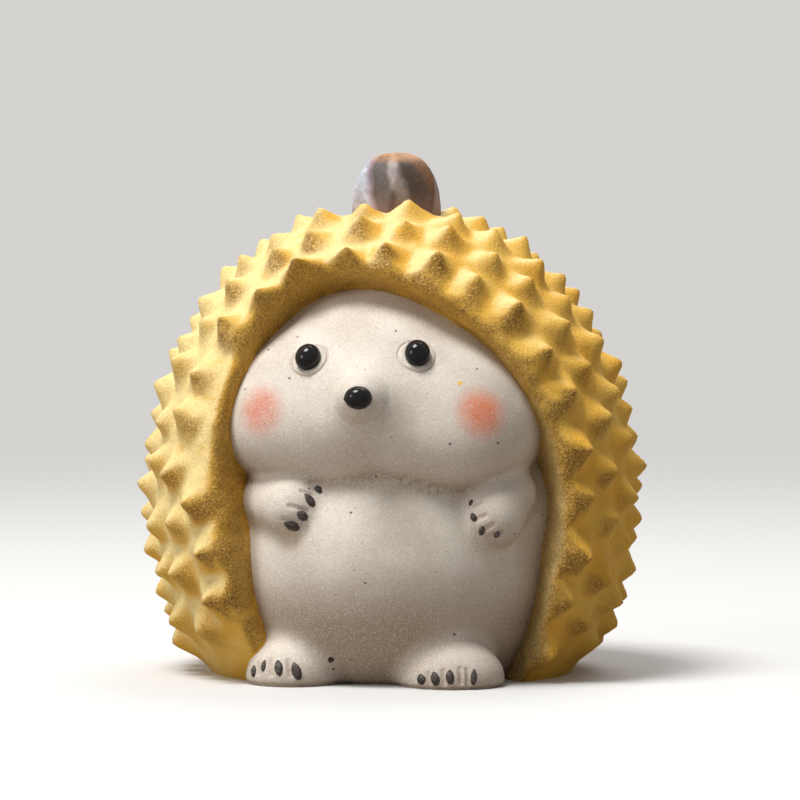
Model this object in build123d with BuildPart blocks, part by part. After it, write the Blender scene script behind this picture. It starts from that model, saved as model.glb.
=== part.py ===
"""A stoneware hedgehog figurine in a spiny husk coat, built up the way a potter lutes it together.

The torso and the head are two hollow pots joined rim to rim at the neck.  The spiny coat, the arms and
the feet are stuck on with slip, the stem stands in a seat on the crown of the coat, and the eyes, the
nose and the claws are small black beads let into the clay.  Nothing moves.

Frame: millimetres, +Z up, the origin in the middle of the torso's resting face.  The hedgehog looks
along -Y, so its own right side is at -X.  Angles on the figure are counted round Z from the front,
positive towards +X.
"""

import math
import os

from build123d import *

# Joints between the clay pieces
slip_gap = 0.15  # layer of dried slip between two luted pieces
bead_gap = 0.05  # film of glaze round a bead or a claw in its socket

# Torso, a hollow pot
belly_r = 20.5
belly_z = 13.2
neck_z = 24.3
torso_wall = 4.5
torso_floor = 2.0
vent_r = 0.45
vent_z = 3.2
vent_angle = -18.5

# Head, a hollow bowl set upside down on the torso
front_turn = -4.0  # the head and the feet are turned a little to the hedgehog's right
head_r = 20.3
head_z = 26.2
head_wall = 4.5
cheek_r = 7.8
cheek_reach = 14.8
cheek_z = 29.2
cheek_angle = 43.0
snout_r = 8.5
snout_tip_r = 2.1
snout_length = 8.0
snout_reach = 14.4
snout_z = 33.0

# Black beads
eye_r = 1.55
eye_z = 37.4
eye_angle = 21.6
eyes_turn = -5.5  # the eyes look a little further round than the snout
eye_sink = 0.3
eye_rim_width = 0.55
eye_rim_slope = 0.45  # how much further out the rim's foot is than its top
eye_rim_height = 0.4
nose_r = 1.6
nose_sink = 0.1
bead_stub = 0.9  # length of a bead's straight back, below its dome

# Arms, tapered stubs from the shoulder to the paw
shoulder_r = 3.6
paw_r = 3.2
right_shoulder = (-13.8, -11.4, 20.2)
right_paw = (-7.6, -17.6, 20.3)
left_shoulder = (14.4, -11.8, 20.9)
left_paw = (11.6, -16.2, 18.8)

# Feet
foot_r = 5.4
foot_spread = 9.4
foot_reach = 14.8

# Claws, black seeds let into the paws and the feet
claw_length = 2.3
claw_width = 1.3
claw_point = 0.3  # width of a claw's blunt ends
claw_sides = 6
claw_sink = 0.2
claws_per_limb = 4
paw_claw_step = 32.0  # between two claws, in degrees round the paw
paw_claw_slope = 55.0  # lean of the row of claws on a paw
right_paw_facing = -14.0  # where the middle of the row looks, in degrees from the front
left_paw_facing = 12.0
right_foot_facing = -11.0
left_foot_facing = -4.0
foot_claw_step = 20.0
foot_claw_z = 1.8

# Coat, a thick husk luted over the back and drawn round the face
coat_side = 6.5  # how far the husk stands out beyond the head at its widest
crown_cover = 6.4  # how thick it is over the top of the head
coat_x = -0.4
coat_y = 2.6
coat_z = 21.0
coat_r = head_r + coat_side
coat_height = head_z + head_r + crown_cover - coat_z
opening_half_width = 17.4
opening_half_height = 28.2
opening_x = 0.5
opening_z = 17.0
opening_y = -10.0  # where the opening has those sizes
opening_flare = 0.45  # how much it widens for each millimetre further forward
opening_back_y = -4.0
opening_front_y = -30.0

# Spikes of the coat, in staggered rows round the opening
spike_sides = 4
spike_base_r = 3.1
spike_tip_r = 0.35
spike_height = 2.8
spike_root = 1.2
spike_first_row = 58.0  # degrees from the front
spike_row_step = 11.0
spike_pitch = 5.4
spike_floor_clearance = 3.0
spike_stray = 0.02  # how far a spike strays from its even place, in radians
spike_lean = 0.12  # how far it leans, as a share of its length
stray_by_row = 5.0
stray_by_place = 3.7

# Stem on the crown
stem_r = 5.0
stem_top_r = 3.4
stem_sides = 7
stem_x = 0.2
stem_y = 4.0
stem_sink = 1.7  # how deep its seat goes into the crown
stem_seat_z = coat_z + coat_height - stem_sink
stem_length = 8.7
stem_lean = 4.0  # towards the hedgehog's left
stem_top_round = 1.1
stem_clear_of_spikes = 3.3  # from the stem's foot to the middle of the nearest spike


def about_front(angle, reach, z):
    """The point at that angle from the front, that far from the axis and at that height."""
    turn = math.radians(angle)
    return Vector(reach * math.sin(turn), -reach * math.cos(turn), z)


def torso_form(grow=0.0, floor_z=0.0):
    """The torso's outside, or its hollow where grow is minus the wall: a ball cut off at floor and neck."""
    with BuildPart() as form:
        with Locations((0, 0, belly_z)):
            Sphere(belly_r + grow)
        split(bisect_by=Plane.XY.offset(floor_z), keep=Keep.TOP)
        split(bisect_by=Plane.XY.offset(neck_z), keep=Keep.BOTTOM)
    return form.part


def head_form(grow=0.0):
    """The head's outside: skull, cheeks and snout, cut flat at the neck."""
    skull = Vector(0, 0, head_z)
    cheeks = [about_front(front_turn + side * cheek_angle, cheek_reach, cheek_z) for side in (-1, 1)]
    snout = Plane(origin=about_front(front_turn, snout_reach, snout_z), z_dir=about_front(front_turn, 1, 0))
    with BuildPart() as form:
        with Locations(skull):
            Sphere(head_r + grow)
        with Locations(*[Plane(origin=cheek, z_dir=cheek - skull) for cheek in cheeks]):
            Sphere(cheek_r + grow)
        with Locations(snout):
            Cone(
                snout_r + grow,
                snout_tip_r + grow,
                snout_length + grow,
                align=(Align.CENTER, Align.CENTER, Align.MIN),
            )
        split(bisect_by=Plane.XY.offset(neck_z - grow), keep=Keep.TOP)
    return form.part


def arm_form(shoulder, paw, grow=0.0):
    """One arm: a round shoulder tapering to a round paw."""
    reach = (Vector(paw) - Vector(shoulder)).length
    large, small = shoulder_r + grow, paw_r + grow
    with BuildPart() as form:
        with BuildSketch(Plane.XZ):
            with BuildLine():
                CenterArc((0, 0), large, -90, 90)
                Line((large, 0), (small, reach))
                CenterArc((0, reach), small, 0, 90)
                Line((0, reach + small), (0, -large))
            make_face()
        revolve(axis=Axis.Z)
    return Plane(origin=shoulder, z_dir=Vector(paw) - Vector(shoulder)).location * form.part


def foot_centre(side):
    """Where a foot is centred on the floor; side is -1 for the right foot and 1 for the left."""
    return Vector(side * foot_spread, -foot_reach, 0).rotate(Axis.Z, front_turn)


def foot_form(side, grow=0.0):
    """One foot: half a ball on the floor."""
    with BuildPart() as form:
        with Locations(foot_centre(side)):
            Sphere(foot_r + grow)
        split(bisect_by=Plane.XY, keep=Keep.TOP)
    return form.part


def eye_plane(side):
    """The plane on the face where an eye sits, looking out of the head."""
    reach = math.sqrt(head_r**2 - (eye_z - head_z) ** 2)
    place = about_front(eyes_turn + side * eye_angle, reach, eye_z)
    return Plane(origin=place, z_dir=place - Vector(0, 0, head_z))


def nose_plane():
    """The plane at the tip of the snout where the nose sits, looking forward."""
    tip = about_front(front_turn, snout_reach + snout_length, snout_z)
    return Plane(origin=tip, z_dir=about_front(front_turn, 1, 0))


def bead(radius):
    """A round-topped bead with a straight back, its dome standing on the origin."""
    with BuildPart() as form:
        Sphere(radius)
        split(bisect_by=Plane.XY, keep=Keep.TOP)
        Cylinder(radius, bead_stub, align=(Align.CENTER, Align.CENTER, Align.MAX))
    return form.part


def bead_socket(radius):
    """What a bead's socket removes, from its flat floor to well above the surface."""
    floor = Plane.XY.offset(-bead_stub - bead_gap)
    with BuildPart() as form:
        with BuildSketch(floor):
            Circle(radius + bead_gap)
        extrude(amount=bead_stub + 2 * radius)
    return form.part


def claw_form(grow=0.0):
    """One claw: a faceted seed lying along Y with its middle just under the surface."""
    half_length, half_width = claw_length / 2 + grow, claw_width / 2 + grow
    flat_share = math.cos(math.pi / claw_sides)
    slope = (half_width - claw_point / 2) * flat_share / half_length
    with BuildPart() as seed:
        with BuildSketch(Plane.XY):
            RegularPolygon(half_width, claw_sides)
        extrude(amount=half_length, taper=math.degrees(math.atan(slope)))
        mirror(about=Plane.XY)
    return Pos(0, 0, -claw_sink) * Rot(90, 0, 0) * seed.part


def claw_places(centre, radius, step, facing, slope):
    """The places of a limb's claws: a sloping row across a ball, each claw square to the row."""
    front = about_front(facing, 1, 0)
    row = Vector(math.cos(math.radians(slope)), 0, math.sin(math.radians(slope))).rotate(Axis.Z, facing)
    middle = (claws_per_limb - 1) / 2
    places = []
    for count in range(claws_per_limb):
        turn = math.radians((count - middle) * step)
        outward = row * math.sin(turn) + front * math.cos(turn)
        along = row * math.cos(turn) - front * math.sin(turn)
        places.append(Plane(origin=centre + outward * radius, x_dir=along, z_dir=outward).location)
    return places


def paw_claw_places(side):
    """The claws of one paw, in a row that leans in towards the chin."""
    if side < 0:
        return claw_places(Vector(right_paw), paw_r, paw_claw_step, right_paw_facing, paw_claw_slope)
    return claw_places(Vector(left_paw), paw_r, paw_claw_step, left_paw_facing, 180 - paw_claw_slope)


def foot_claw_places(side):
    """The claws of one foot, in a level row across its toes."""
    centre = foot_centre(side)
    level = Vector(centre.X, centre.Y, foot_claw_z)
    toe_r = math.sqrt(foot_r**2 - foot_claw_z**2)
    facing = right_foot_facing if side < 0 else left_foot_facing
    return claw_places(level, toe_r, foot_claw_step, facing, 0)


def stem_seat():
    """The flat floor of the stem's seat, leaning with the stem."""
    lean = math.radians(stem_lean)
    return Plane(origin=(stem_x, stem_y, stem_seat_z), z_dir=(math.sin(lean), 0, math.cos(lean)))


def stray(row, place, phase):
    """A steady number from -1 to 1 that makes one spike differ from the next, as by hand."""
    return math.sin(stray_by_row * row + stray_by_place * place + phase)


def spike_places():
    """Where the spikes stand: uneven rings round the opening, staggered, off the floor, clear of the stem."""
    places = []
    rows = int((180 - spike_first_row) / spike_row_step) + 1
    for row in range(rows):
        row_tilt = math.radians(spike_first_row + row * spike_row_step)
        ring = math.pi * (coat_r + coat_height) * math.sin(row_tilt)
        count = max(1, round(ring / spike_pitch))
        for place in range(count):
            tilt = row_tilt + spike_stray * stray(row, place, 0)
            turn = 2 * math.pi * (place + 0.5 * (row % 2)) / count
            turn += spike_stray * stray(row, place, 1) / math.sin(row_tilt)
            x = coat_r * math.sin(tilt) * math.cos(turn)
            y = -coat_r * math.cos(tilt)
            z = coat_height * math.sin(tilt) * math.sin(turn)
            outward = Vector(x / coat_r**2, y / coat_r**2, z / coat_height**2).normalized()
            lean = Vector(*[stray(row, place, phase) for phase in (2, 3, 4)]) * spike_lean
            origin = Vector(x + coat_x, y + coat_y, z + coat_z)
            from_stem = math.hypot(origin.X - stem_x, origin.Y - stem_y)
            under_stem = origin.Z > coat_z and from_stem < stem_r + stem_clear_of_spikes
            if origin.Z > spike_floor_clearance and not under_stem:
                places.append(Plane(origin=origin, z_dir=outward + lean).location)
    return places


# Torso: a pot with an open neck and a small vent beside the right foot
with BuildPart() as torso:
    add(torso_form())
    add(torso_form(-torso_wall, torso_floor), mode=Mode.SUBTRACT)
    vent_inside = about_front(vent_angle, belly_r / 2, vent_z)
    with Locations(Plane(origin=vent_inside, z_dir=about_front(vent_angle, 1, 0))):
        Cylinder(vent_r, belly_r, align=(Align.CENTER, Align.CENTER, Align.MIN), mode=Mode.SUBTRACT)
torso.part.label = "torso"

# Head: a bowl with raised rims round the eye sockets and a socket at the tip of the snout
eye_planes = [eye_plane(side) for side in (-1, 1)]
eye_seats = [plane.offset(-eye_sink) for plane in eye_planes]
nose_seat = nose_plane().offset(-nose_sink)
rim_top_r = eye_r + bead_gap + eye_rim_width
with BuildPart() as head:
    add(head_form())
    with Locations(*eye_seats):
        Cone(rim_top_r + eye_rim_slope, rim_top_r, 2 * eye_rim_height)
    with Locations((0, 0, head_z)):
        Sphere(head_r - head_wall, mode=Mode.SUBTRACT)
    with Locations(*eye_seats):
        add(bead_socket(eye_r), mode=Mode.SUBTRACT)
    with Locations(nose_seat):
        add(bead_socket(nose_r), mode=Mode.SUBTRACT)
head.part.label = "head"

# Eyes and nose
with BuildPart() as right_eye:
    with Locations(eye_seats[0]):
        add(bead(eye_r))
right_eye.part.label = "right_eye"

with BuildPart() as left_eye:
    with Locations(eye_seats[1]):
        add(bead(eye_r))
left_eye.part.label = "left_eye"

with BuildPart() as nose:
    with Locations(nose_seat):
        add(bead(nose_r))
nose.part.label = "nose"

# Arms, seated on the belly under the chin, with their claws
with BuildPart() as right_arm:
    add(arm_form(right_shoulder, right_paw))
    add(torso_form(slip_gap), mode=Mode.SUBTRACT)
    add(head_form(slip_gap), mode=Mode.SUBTRACT)
    with Locations(*paw_claw_places(-1)):
        add(claw_form(bead_gap), mode=Mode.SUBTRACT)
right_arm.part.label = "right_arm"

with BuildPart() as left_arm:
    add(arm_form(left_shoulder, left_paw))
    add(torso_form(slip_gap), mode=Mode.SUBTRACT)
    add(head_form(slip_gap), mode=Mode.SUBTRACT)
    with Locations(*paw_claw_places(1)):
        add(claw_form(bead_gap), mode=Mode.SUBTRACT)
left_arm.part.label = "left_arm"

with BuildPart() as right_hand_claws:
    with Locations(*paw_claw_places(-1)):
        add(claw_form())
right_hand_claws.part.label = "right_hand_claws"

with BuildPart() as left_hand_claws:
    with Locations(*paw_claw_places(1)):
        add(claw_form())
left_hand_claws.part.label = "left_hand_claws"

# Feet, seated against the foot of the torso, with their claws
with BuildPart() as right_foot:
    add(foot_form(-1))
    add(torso_form(slip_gap), mode=Mode.SUBTRACT)
    with Locations(*foot_claw_places(-1)):
        add(claw_form(bead_gap), mode=Mode.SUBTRACT)
right_foot.part.label = "right_foot"

with BuildPart() as left_foot:
    add(foot_form(1))
    add(torso_form(slip_gap), mode=Mode.SUBTRACT)
    with Locations(*foot_claw_places(1)):
        add(claw_form(bead_gap), mode=Mode.SUBTRACT)
left_foot.part.label = "left_foot"

with BuildPart() as right_foot_claws:
    with Locations(*foot_claw_places(-1)):
        add(claw_form())
right_foot_claws.part.label = "right_foot_claws"

with BuildPart() as left_foot_claws:
    with Locations(*foot_claw_places(1)):
        add(claw_form())
left_foot_claws.part.label = "left_foot_claws"

# One spike of the coat, standing on the origin with its root below it
with BuildPart() as spike:
    with BuildSketch(Plane.XY.offset(-spike_root)):
        RegularPolygon(spike_base_r, spike_sides)
    flat_share = math.cos(math.pi / spike_sides)
    slope = (spike_base_r - spike_tip_r) * flat_share / (spike_root + spike_height)
    extrude(amount=spike_root + spike_height, taper=math.degrees(math.atan(slope)))

# The husk's plain outside, a ball that is taller than it is wide
with BuildPart() as husk:
    Sphere(coat_r)
    scale(by=(1, 1, coat_height / coat_r))

# Coat: a husk hollowed to the body, opened round the face, flat below and seated for the stem
with BuildPart() as coat:
    with Locations((coat_x, coat_y, coat_z)):
        add(husk.part)
    split(bisect_by=Plane.XY, keep=Keep.TOP)
    with BuildPart(mode=Mode.SUBTRACT):
        for section_y in (opening_back_y, opening_front_y):
            widened = opening_flare * (opening_y - section_y)
            with BuildSketch(Plane.XZ.offset(-section_y)):
                with Locations((opening_x, opening_z)):
                    Ellipse(opening_half_width + widened, opening_half_height + widened)
        loft(ruled=True)
    add(torso_form(slip_gap), mode=Mode.SUBTRACT)
    add(head_form(slip_gap), mode=Mode.SUBTRACT)
    add(arm_form(right_shoulder, right_paw, slip_gap), mode=Mode.SUBTRACT)
    add(arm_form(left_shoulder, left_paw, slip_gap), mode=Mode.SUBTRACT)
    add(foot_form(-1, slip_gap), mode=Mode.SUBTRACT)
    add(foot_form(1, slip_gap), mode=Mode.SUBTRACT)
    with BuildSketch(stem_seat()):
        Circle(stem_r + slip_gap)
    extrude(amount=stem_length, mode=Mode.SUBTRACT)
    with Locations(*spike_places()):
        add(spike.part)
coat.part.label = "spiny_coat"

# Stem: a faceted stub that stands on the floor of its seat
with BuildPart() as stem:
    with BuildSketch(stem_seat()):
        RegularPolygon(stem_r, stem_sides)
    flat_share = math.cos(math.pi / stem_sides)
    slope = (stem_r - stem_top_r) * flat_share / stem_length
    extrude(amount=stem_length, taper=math.degrees(math.atan(slope)))
    fillet(stem.faces().sort_by(Axis.Z)[-1].edges(), stem_top_round)
stem.part.label = "stem"

os.makedirs("parts", exist_ok=True)
for piece in (
    torso,
    head,
    coat,
    stem,
    right_eye,
    left_eye,
    nose,
    right_arm,
    left_arm,
    right_hand_claws,
    left_hand_claws,
    right_foot,
    left_foot,
    right_foot_claws,
    left_foot_claws,
):
    export_step(piece.part, f"parts/{piece.part.label}.step")
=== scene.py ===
"""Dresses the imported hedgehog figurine: modelled clay, spiny coat, stem, beads, claws and their finishes.

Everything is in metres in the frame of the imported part: +Z up, the hedgehog looks along -Y, its right is -X.
"""

import math
from functools import partial

import bpy
import numpy as np
from bpy.props import FloatProperty, FloatVectorProperty, PointerProperty
from mathutils import Matrix, Vector
from mathutils.kdtree import KDTree


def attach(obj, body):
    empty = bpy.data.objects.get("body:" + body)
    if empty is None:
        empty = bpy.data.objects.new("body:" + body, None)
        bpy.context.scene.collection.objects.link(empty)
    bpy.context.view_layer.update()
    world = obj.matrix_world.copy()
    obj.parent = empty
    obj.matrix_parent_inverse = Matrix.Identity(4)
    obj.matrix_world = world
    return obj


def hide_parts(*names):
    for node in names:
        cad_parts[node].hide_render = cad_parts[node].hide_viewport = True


bl_info = {
    "name": "Stoneware Hedgehog",
    "version": (1, 0, 0),
    "blender": (4, 5, 0),
    "location": "View3D > Sidebar > Hedgehog",
    "description": "Models and finishes a stoneware hedgehog in a spiny coat",
    "category": "Add Mesh",
}

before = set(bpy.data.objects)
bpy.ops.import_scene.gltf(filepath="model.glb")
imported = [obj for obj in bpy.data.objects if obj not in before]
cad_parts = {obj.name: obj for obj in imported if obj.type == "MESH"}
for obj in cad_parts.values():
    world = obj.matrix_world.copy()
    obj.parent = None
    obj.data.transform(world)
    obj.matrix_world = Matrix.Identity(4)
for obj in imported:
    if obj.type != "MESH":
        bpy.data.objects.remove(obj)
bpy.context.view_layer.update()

MM = 0.001
BODY = "root"
SIDES = {-1: "right", 1: "left"}  # the hedgehog's own
TINY = 1e-9  # keeps a division from meeting nothing

# How meshes are worked
BALL_FINE = 4  # how often the faces of a plain ball are divided
SLOPE_STEP = 0.01 * MM
PRESS_ROUNDS = 6
PRESS_MOST = 1.0 * MM  # how far a point is pressed in one round
PRESS_SLOPE = 0.05  # the least slope, squared, that a point is pressed along
KNEAD_ROUNDS = 3
KNEAD_RUB = 0.5
RUBS = 2  # how often a surface is rubbed over each time
SMOOTH_ANGLE = math.radians(40)
MANY_SIDES = 8  # a face with more sides than this is a flat cut
CUT_NEAR = 0.0001 * MM  # a corner this close to a cut lies on it
CUT_DEPTH = 0.06 * MM  # a face further inside the clay than this belongs to a cut

# The camera, and the picture of 800 by 800 pixels in which places are given as it sees them
PICTURE = 800
CAMERA_YAW = 6.0
CAMERA_RISE = 3.0
CAMERA_FAR = 700 * MM
CAMERA_LENS = 271.8
CAMERA_SENSOR = 36.0
CAMERA_SHIFT = 0.81 * MM
CAMERA_Z = 31.6 * MM
CAMERA_NEAR = 10 * MM
SIGHT_FROM = 45 * MM  # how far before the figure's middle a line of sight starts
SIGHT_STEPS = 400
SIGHT_MOST = 1.0 * MM  # how far it goes in one step
SIGHT_SHARE = 0.7
EYE_PIXELS = {"right": (309.5, 360), "left": (417, 356)}
BLUSH_PIXELS = {"right": (260, 410), "left": (482, 413)}
FLECK_PIXEL = (460, 383)
VENT_PIXEL = (331, 660)
PAW_STAIN_PIXEL = (291, 536)
GROOVE_PIXELS = (
    # right paw
    ((302, 491), (312, 495)),
    ((290, 506), (307, 511)),
    ((284, 519), (297, 522)),
    # left paw
    ((475, 505), (482, 501)),
    ((476, 519), (485, 516)),
    ((482, 530), (493, 525)),
    ((487, 537), (502, 532)),
    # right foot
    ((258, 663), (258, 673)),
    ((270, 660), (271, 674)),
    ((288, 661), (291, 675)),
    # left foot
    ((428, 674), (429, 686)),
    ((443, 671), (444, 684)),
    ((460, 669), (461, 683)),
    ((467, 670), (468, 684)),
)
# Each claw: pixel, length and width in millimetres, lean of its upper end to the picture's right in degrees
CLAWS = {
    "right_hand_claws": (
        ((318, 489), 1.7, 0.95, -31),
        ((310, 500), 1.9, 1.15, -40),
        ((302.5, 516), 1.6, 1.1, -53),
        ((292, 526.5), 2.0, 1.2, -62),
    ),
    "left_hand_claws": (
        ((471, 502.5), 0.95, 0.6, -17),
        ((473, 517), 1.15, 0.85, -37),
        ((481.5, 531), 1.25, 0.75, 20),
        ((497, 535), 0.95, 0.6, 24),
    ),
    "right_foot_claws": (
        ((253.5, 671), 1.5, 0.95, -26),
        ((263.5, 665.5), 1.5, 0.75, -11),
        ((278.5, 667.5), 1.95, 1.05, -14),
        ((296.5, 671), 2.15, 1.15, -17),
    ),
    "left_foot_claws": (
        ((421, 679.2), 1.35, 1.2, -20),
        ((435, 678.6), 1.7, 1.1, -17),
        ((450, 677), 1.75, 1.0, -6),
        ((474, 677), 1.9, 0.8, 8),
    ),
}
CLAW_THICK = 0.75 * MM
CLAW_SINK = 0.12 * MM
CLAW_TAPER = 0.42
CLAW_MESH = (20, 12)

# Places on the figure, as angles from the front towards the hedgehog's left
FRONT_TURN = -4.0

# Clay body
NECK_Z = 24.3 * MM
PAUNCH_PLACE = np.array((-0.4, -6.5, 12.6)) * MM
PAUNCH_ROUND = np.array((1.0, 0.87, 0.86))
PAUNCH_FILLET = 2.4 * MM
FLANKS = {-1: np.array((-11.0, -4.5, 20.5)) * MM, 1: np.array((11.6, -4.5, 20.5)) * MM}
FLANK_RADIUS = 8.0 * MM
FLANK_FILLET = 3.0 * MM
CHIN_FILLET = 0.7 * MM
CHEEK_REACH = 14.6 * MM
CHEEK_HEIGHTS = {-1: 29.6 * MM, 1: 28.9 * MM}
CHEEK_ANGLE = 43.0
CHEEK_BOTTOM = 23.3 * MM
CHEEK_ROUND = 4.0 * MM
CHEEK_FILLET = 5.0 * MM
JAW_Z = 21.3 * MM
JAW_ROUND = 11.0 * MM
JAW_RISE = 0.003 / MM  # how fast it rises sideways
JOWLS = ((-5.2 * MM, 4.2 * MM, 1.6 * MM), (9.2 * MM, 4.2 * MM, 1.5 * MM))  # place across, spread and droop
SNOUT_ROOT = (12.2 * MM, 30.8 * MM)
SNOUT_TIP = (20.5 * MM, 33.0 * MM)
SNOUT_RADII = (8.5 * MM, 1.9 * MM)
ARM_RADII = (3.7 * MM, 3.5 * MM)
ARM_FILLET = 1.1 * MM
SHOULDERS = {-1: np.array((-12.4, -12.0, 20.6)) * MM, 1: np.array((13.9, -11.4, 21.6)) * MM}
PAWS = {-1: np.array((-9.7, -16.1, 20.0)) * MM, 1: np.array((12.9, -14.9, 19.0)) * MM}
LIMB_BALLS = {"arm": 9.0 * MM, "foot": 7.2 * MM}  # how far from its middle a limb is cut out of the lump
FOOT_SPREAD = {-1: 9.0 * MM, 1: 9.4 * MM}
FOOT_REACH = 14.8 * MM
FOOT_LIFT = 0.9 * MM
FOOT_RADII = {-1: np.array((5.3, 5.6, 4.3)) * MM, 1: np.array((6.0, 5.6, 4.3)) * MM}
FOOT_FILLET = 2.0 * MM
SNOUT_FILLET = 5.5 * MM
CREASE_WIDTH = 0.9 * MM
FLOOR_ROUND = 0.6 * MM
FLOOR_ROUND_SHARE = 0.85  # how much of the round is left above the floor
VENTED = ("torso", "right_foot")
VENT_RADIUS = 0.38 * MM
VENT_DEPTH = 4.0 * MM
VENT_SIDES = 24
EYE_SINK = -0.55 * MM
EYE_ROUND = (0.98, 1.08, 0.9)  # across, up and out of the clay
EYE_NEAR = 2.0 * MM
EYE_MESH = (56, 28)
BEAD_GAP = -0.05 * MM
BEAD_EDGE = 0.12 * MM
BEAD_NEAR = 1.0 * MM
RIM_OUT = 1.88 * MM
RIM_FALL = 0.28 * MM
RIM_HEIGHT = 0.15 * MM
RIM_LINE = 0.13 * MM
RIM_LINE_DEPTH = 0.12 * MM
RIM_LINE_SHADE = 0.6
NOSE_REACH = 22.4 * MM
NOSE_Z = 33.0 * MM
NOSE_ROUND = (1.06, 0.88, 0.95)
NOSE_POINT = (-0.93, -0.10, 0.35)  # which way its small point is drawn out
NOSE_POINT_LONG = 0.06
NOSE_POINT_WIDE = 0.17
NOSE_MESH = (72, 36)
GROOVE_DEPTH = 0.24 * MM
GROOVE_WIDTH = 0.26 * MM
GROOVE_NEAR = 0.9 * MM
# Painted shade on the clay: browner low on the belly, under the head and in the chin's crease, and left off
# the feet
PAINTED_SHADE_LOW = 0.8
PAINTED_SHADE_UNDER = 1.1
PAINTED_SHADE_CREASE = 0.8
PAINTED_SHADE_FROM = 15.0 * MM
PAINTED_SHADE_OVER = 10.0 * MM
FOOT_UNSHADED = 6.8 * MM
BODY_VOXEL = 0.45 * MM
CUTTER_VOXEL = 0.8 * MM

# Opening of the coat round the face
OPENING_PLACE = np.array((1.75, -10.0, 17.2)) * MM
OPENING_HALF = np.array((17.3, 28.7)) * MM
OPENING_LEAN = -0.0101 / MM  # sideways with the square of the height above OPENING_LEAN_Z
OPENING_LEAN_Z = 20.0 * MM
OPENING_SHOULDERS = (-0.01, 0.06)  # how much fuller than an ellipse it is beside the brow, right and left
OPENING_WAVES = ((9, 0.010), (17, 0.006))  # how many waves its edge has round it, and how deep
OPENING_WAIST = 0.05  # how much narrower it is beside the belly
OPENING_WAIST_FULL = 0.3
OPENING_TUCK = 0.115  # how much narrower it is on the right, below the cheek
OPENING_TUCK_Z = (28.0 * MM, 17.0 * MM)
OPENING_FLARE = 0.45
RIM_ANGLES = (-100, 280, 761)  # where the rim is measured: from and to, in degrees, and how often
RIM_FORWARD = (-6.0 * MM, 16.0 * MM)
RIM_HALVINGS = 40

# Coat
COAT_PLACE = np.array((-0.4, 2.6, 21.0)) * MM
FIRST_ROW = 58.0
SHORT_ROWS = 1  # rows before the first, only where they stand clear of the lip
ROW_STEP = 11.0
SPIKE_STRAY = 0.02  # how far a spike strays from its even place, in radians
SPIKE_LEAN = 0.12
SPIKE_UNEVEN = 0.15
STRAY_BY_ROW = 5.0
STRAY_BY_PLACE = 3.7
SPIKE_REACH = 3.9 * MM
SPIKE_BLUNT = 0.07
SPIKE_HOLLOW = 1.6
SPIKE_RISE = (0.55, 0.95)  # where over the lip spikes begin, and where they are full
SPIKES_FROM_STEM = 5.9 * MM
SPIKES_FROM_FLOOR = 3.0 * MM
COAT_SKIRT = 2.5 * MM
COAT_CUTS = 11
COAT_RUB = 0.4
LIP_IN = math.radians(5.0)
LIP_OUT = math.radians(3.2)
LIP_CLEAR = math.radians(2.0)
LIP_SPLIT = 0.35
LIP_ROUND = 2.2 * MM
LIP_ROOT = -5.0 * MM
LIP_TURNS = (-85, 265, 7001)  # where the lip is measured: from and to, in degrees, and how often
LIP_KNOTS = 44
SKIRT_KNOTS = 30
SKIRT_NEAR = 0.003  # a knot this little above the skirt's edge, against the coat's height, belongs to it
KNOT_DIGITS = 5
POINTS_AT_ONCE = 4000
DENT_SIZE = 2.4 * MM
DENT_DEPTH = 0.3 * MM
SPREAD_ROUNDS = 5
# Painted shade, with some real stain, on the spikes' flanks that face the opening and face down
SHADE_AND_STAIN_TOWARD = np.array((0.0, -24.0, 24.0)) * MM  # a place before the face that the flanks with painted shade look to
SHADE_AND_STAIN_INWARD = 0.75
SHADE_AND_STAIN_DOWN = 0.6
SHADE_AND_STAIN_ON_LIP = 0.5
SHADE_AND_STAIN_PAST_LIP = (0.7, 1.0)
SHADE_AND_STAIN_GAIN = 2.0
SHADE_AND_STAIN_FROM = 0.15
SHADE_AND_STAIN_REST = 0.1  # how much painted shade and stain is left far from the opening
SHADE_AND_STAIN_REACH = math.radians(24)
DUST_AND_LIGHT_FROM = np.array((-0.8, 0.1, 0.6))  # the side from which the coat gets painted light and a pale dusting
SEAM_WIDTH = 0.45 * MM

# Finishes, with grains and specks to the metre
GRAINS = 6000.0
SPECKS = 420.0
SPECKS_CLOSER = 2.3  # how much closer the finer specks lie
SPECK_BLUR = 0.05
SPECK_CORE = 0.5
SLIP_GRAINS = 4600.0
SLIP_SPECKS = 700.0
CLAW_GRAINS = 4200.0
BLUSH_OUT = 4.0 * MM
BLUSH_IN = 0.9 * MM
# Glaze colours round the stem; the bluish whites near the start and the end are a painted reflection on its
# left facets
STEM_STREAKS_AND_REFLECTION = (
    (0.00, (0.42, 0.44, 0.50)),
    (0.13, (0.60, 0.63, 0.72)),
    (0.160, (0.30, 0.22, 0.25)),
    (0.18, (0.085, 0.070, 0.060)),
    (0.245, (0.095, 0.078, 0.066)),
    (0.27, (0.34, 0.285, 0.26)),
    (0.30, (0.32, 0.265, 0.24)),
    (0.325, (0.070, 0.048, 0.036)),
    (0.38, (0.075, 0.050, 0.036)),
    (0.42, (0.16, 0.075, 0.035)),
    (0.50, (0.22, 0.10, 0.04)),
    (0.60, (0.085, 0.065, 0.055)),
    (0.72, (0.26, 0.21, 0.19)),
    (0.80, (0.08, 0.06, 0.05)),
    (0.92, (0.26, 0.21, 0.24)),
    (1.00, (0.42, 0.44, 0.50)),
)

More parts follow.
